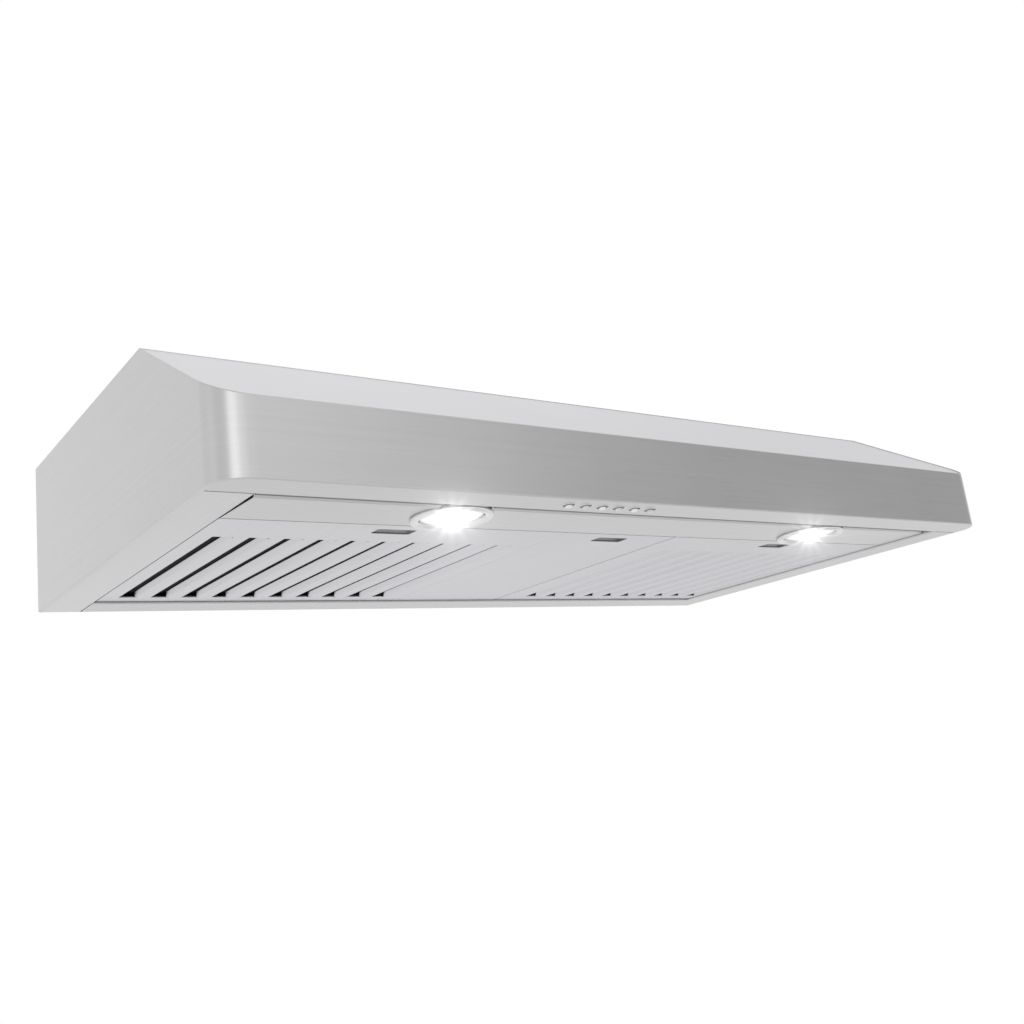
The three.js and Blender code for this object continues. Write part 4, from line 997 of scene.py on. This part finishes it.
world = bpy.data.worlds.new("studio")
scene.world = world
world.use_nodes = True
w_nodes, w_links = world.node_tree.nodes, world.node_tree.links
w_nodes.clear()
direction = w_nodes.new("ShaderNodeTexCoord").outputs["Generated"]


def lobe(towards, width, gain):
    """A soft lighter or darker patch of the studio, centred on a direction."""
    dot = w_nodes.new("ShaderNodeVectorMath")
    dot.operation = "DOT_PRODUCT"
    dot.inputs[1].default_value = Vector(towards).normalized()
    w_links.new(direction, dot.inputs[0])
    rim = math.cos(math.radians(width))
    return soft_step(w_nodes, w_links, dot.outputs["Value"], rim, 1, 0, gain)


# Direction, half width in degrees and gain over the even white.
LOBES = (
    ((0.82, -0.52, 0.2), 34, -0.5),
    ((-0.61, -0.73, 0.3), 18, 0.8),
    ((-0.1, 0.0, 1.0), 42, -0.6),
    ((0.37, 0.72, 0.55), 34, 0.24),
    ((-0.6, 0.75, 0.3), 42, -0.09),
    ((0.99, 0.08, 0.15), 26, -0.25),
    ((-0.94, -0.2, 0.3), 26, -0.18),
    ((-0.3, -0.9, 0.3), 18, 0.26),
    ((0.63, 0.6, 0.49), 22, -0.14),
)
level = 1.0
for towards, width, gain in LOBES:
    level = math_node(w_nodes, w_links, "ADD", level, lobe(towards, width, gain))
lit = w_nodes.new("ShaderNodeBackground")
lit.inputs["Color"].default_value = (1, 1, 1, 1)
w_links.new(level, lit.inputs["Strength"])
backdrop = w_nodes.new("ShaderNodeBackground")
backdrop.inputs["Color"].default_value = (1, 1, 1, 1)
rays = w_nodes.new("ShaderNodeLightPath")
pick = w_nodes.new("ShaderNodeMixShader")
w_links.new(rays.outputs["Is Camera Ray"], pick.inputs["Fac"])
w_links.new(lit.outputs[0], pick.inputs[1])
w_links.new(backdrop.outputs[0], pick.inputs[2])
w_links.new(pick.outputs[0], w_nodes.new("ShaderNodeOutputWorld").inputs["Surface"])


def area_light(name, place, target, size, power):
    """A softbox at a place, facing a target."""
    data = bpy.data.lights.new(name, "AREA")
    data.shape = "RECTANGLE"
    data.size, data.size_y = size
    data.energy = power
    light = bpy.data.objects.new(name, data)
    light.location = place
    light.rotation_euler = (Vector(target) - Vector(place)).to_track_quat("-Z", "Y").to_euler()
    scene.collection.objects.link(light)


area_light("overhead_softbox", (-0.4, -0.6, 2.6), (0, -0.2, 0), (2.4, 2.0), 6)

# The camera was fitted to the hood's straight edges: degrees, millimetres of lens, metres.
HEADING, PITCH, ROLL = 37.417, 13.418, -7.034
CAMERA_AT, LENS_LENGTH = (-0.71863, -1.10326, -0.35952), 38.658
camera_data = bpy.data.cameras.new("camera")
camera_data.sensor_width = 36
camera_data.lens = LENS_LENGTH
camera = bpy.data.objects.new("camera", camera_data)
scene.collection.objects.link(camera)
turn = Matrix.Rotation(math.radians(-HEADING), 4, "Z")
turn @= Matrix.Rotation(math.radians(90 + PITCH), 4, "X")
turn @= Matrix.Rotation(math.radians(ROLL), 4, "Z")
camera.matrix_world = Matrix.Translation(CAMERA_AT) @ turn
scene.camera = camera
scene.view_settings.view_transform = "Standard"

# Glow and short rays round the lamps, as a lens makes them.
scene.use_nodes = True
lens_nodes, lens_links = scene.node_tree.nodes, scene.node_tree.links
lens_nodes.clear()
picture = lens_nodes.new("CompositorNodeRLayers").outputs["Image"]
GLOW = {"Threshold": 3, "Size": 0.5, "Strength": 1.0}
RAYS = {"Threshold": 22, "Strength": 0.35, "Streaks": 12, "Iterations": 3, "Fade": 0.85,
        "Color Modulation": 0}
for glare_type, settings in (("BLOOM", GLOW), ("STREAKS", RAYS)):
    halo = lens_nodes.new("CompositorNodeGlare")
    halo.glare_type = glare_type
    halo.quality = "HIGH"
    for key, value in {"Saturation": 0.3, **settings}.items():
        halo.inputs[key].default_value = value
    lens_links.new(picture, halo.inputs["Image"])
    picture = halo.outputs["Image"]
lens_links.new(picture, lens_nodes.new("CompositorNodeComposite").inputs["Image"])
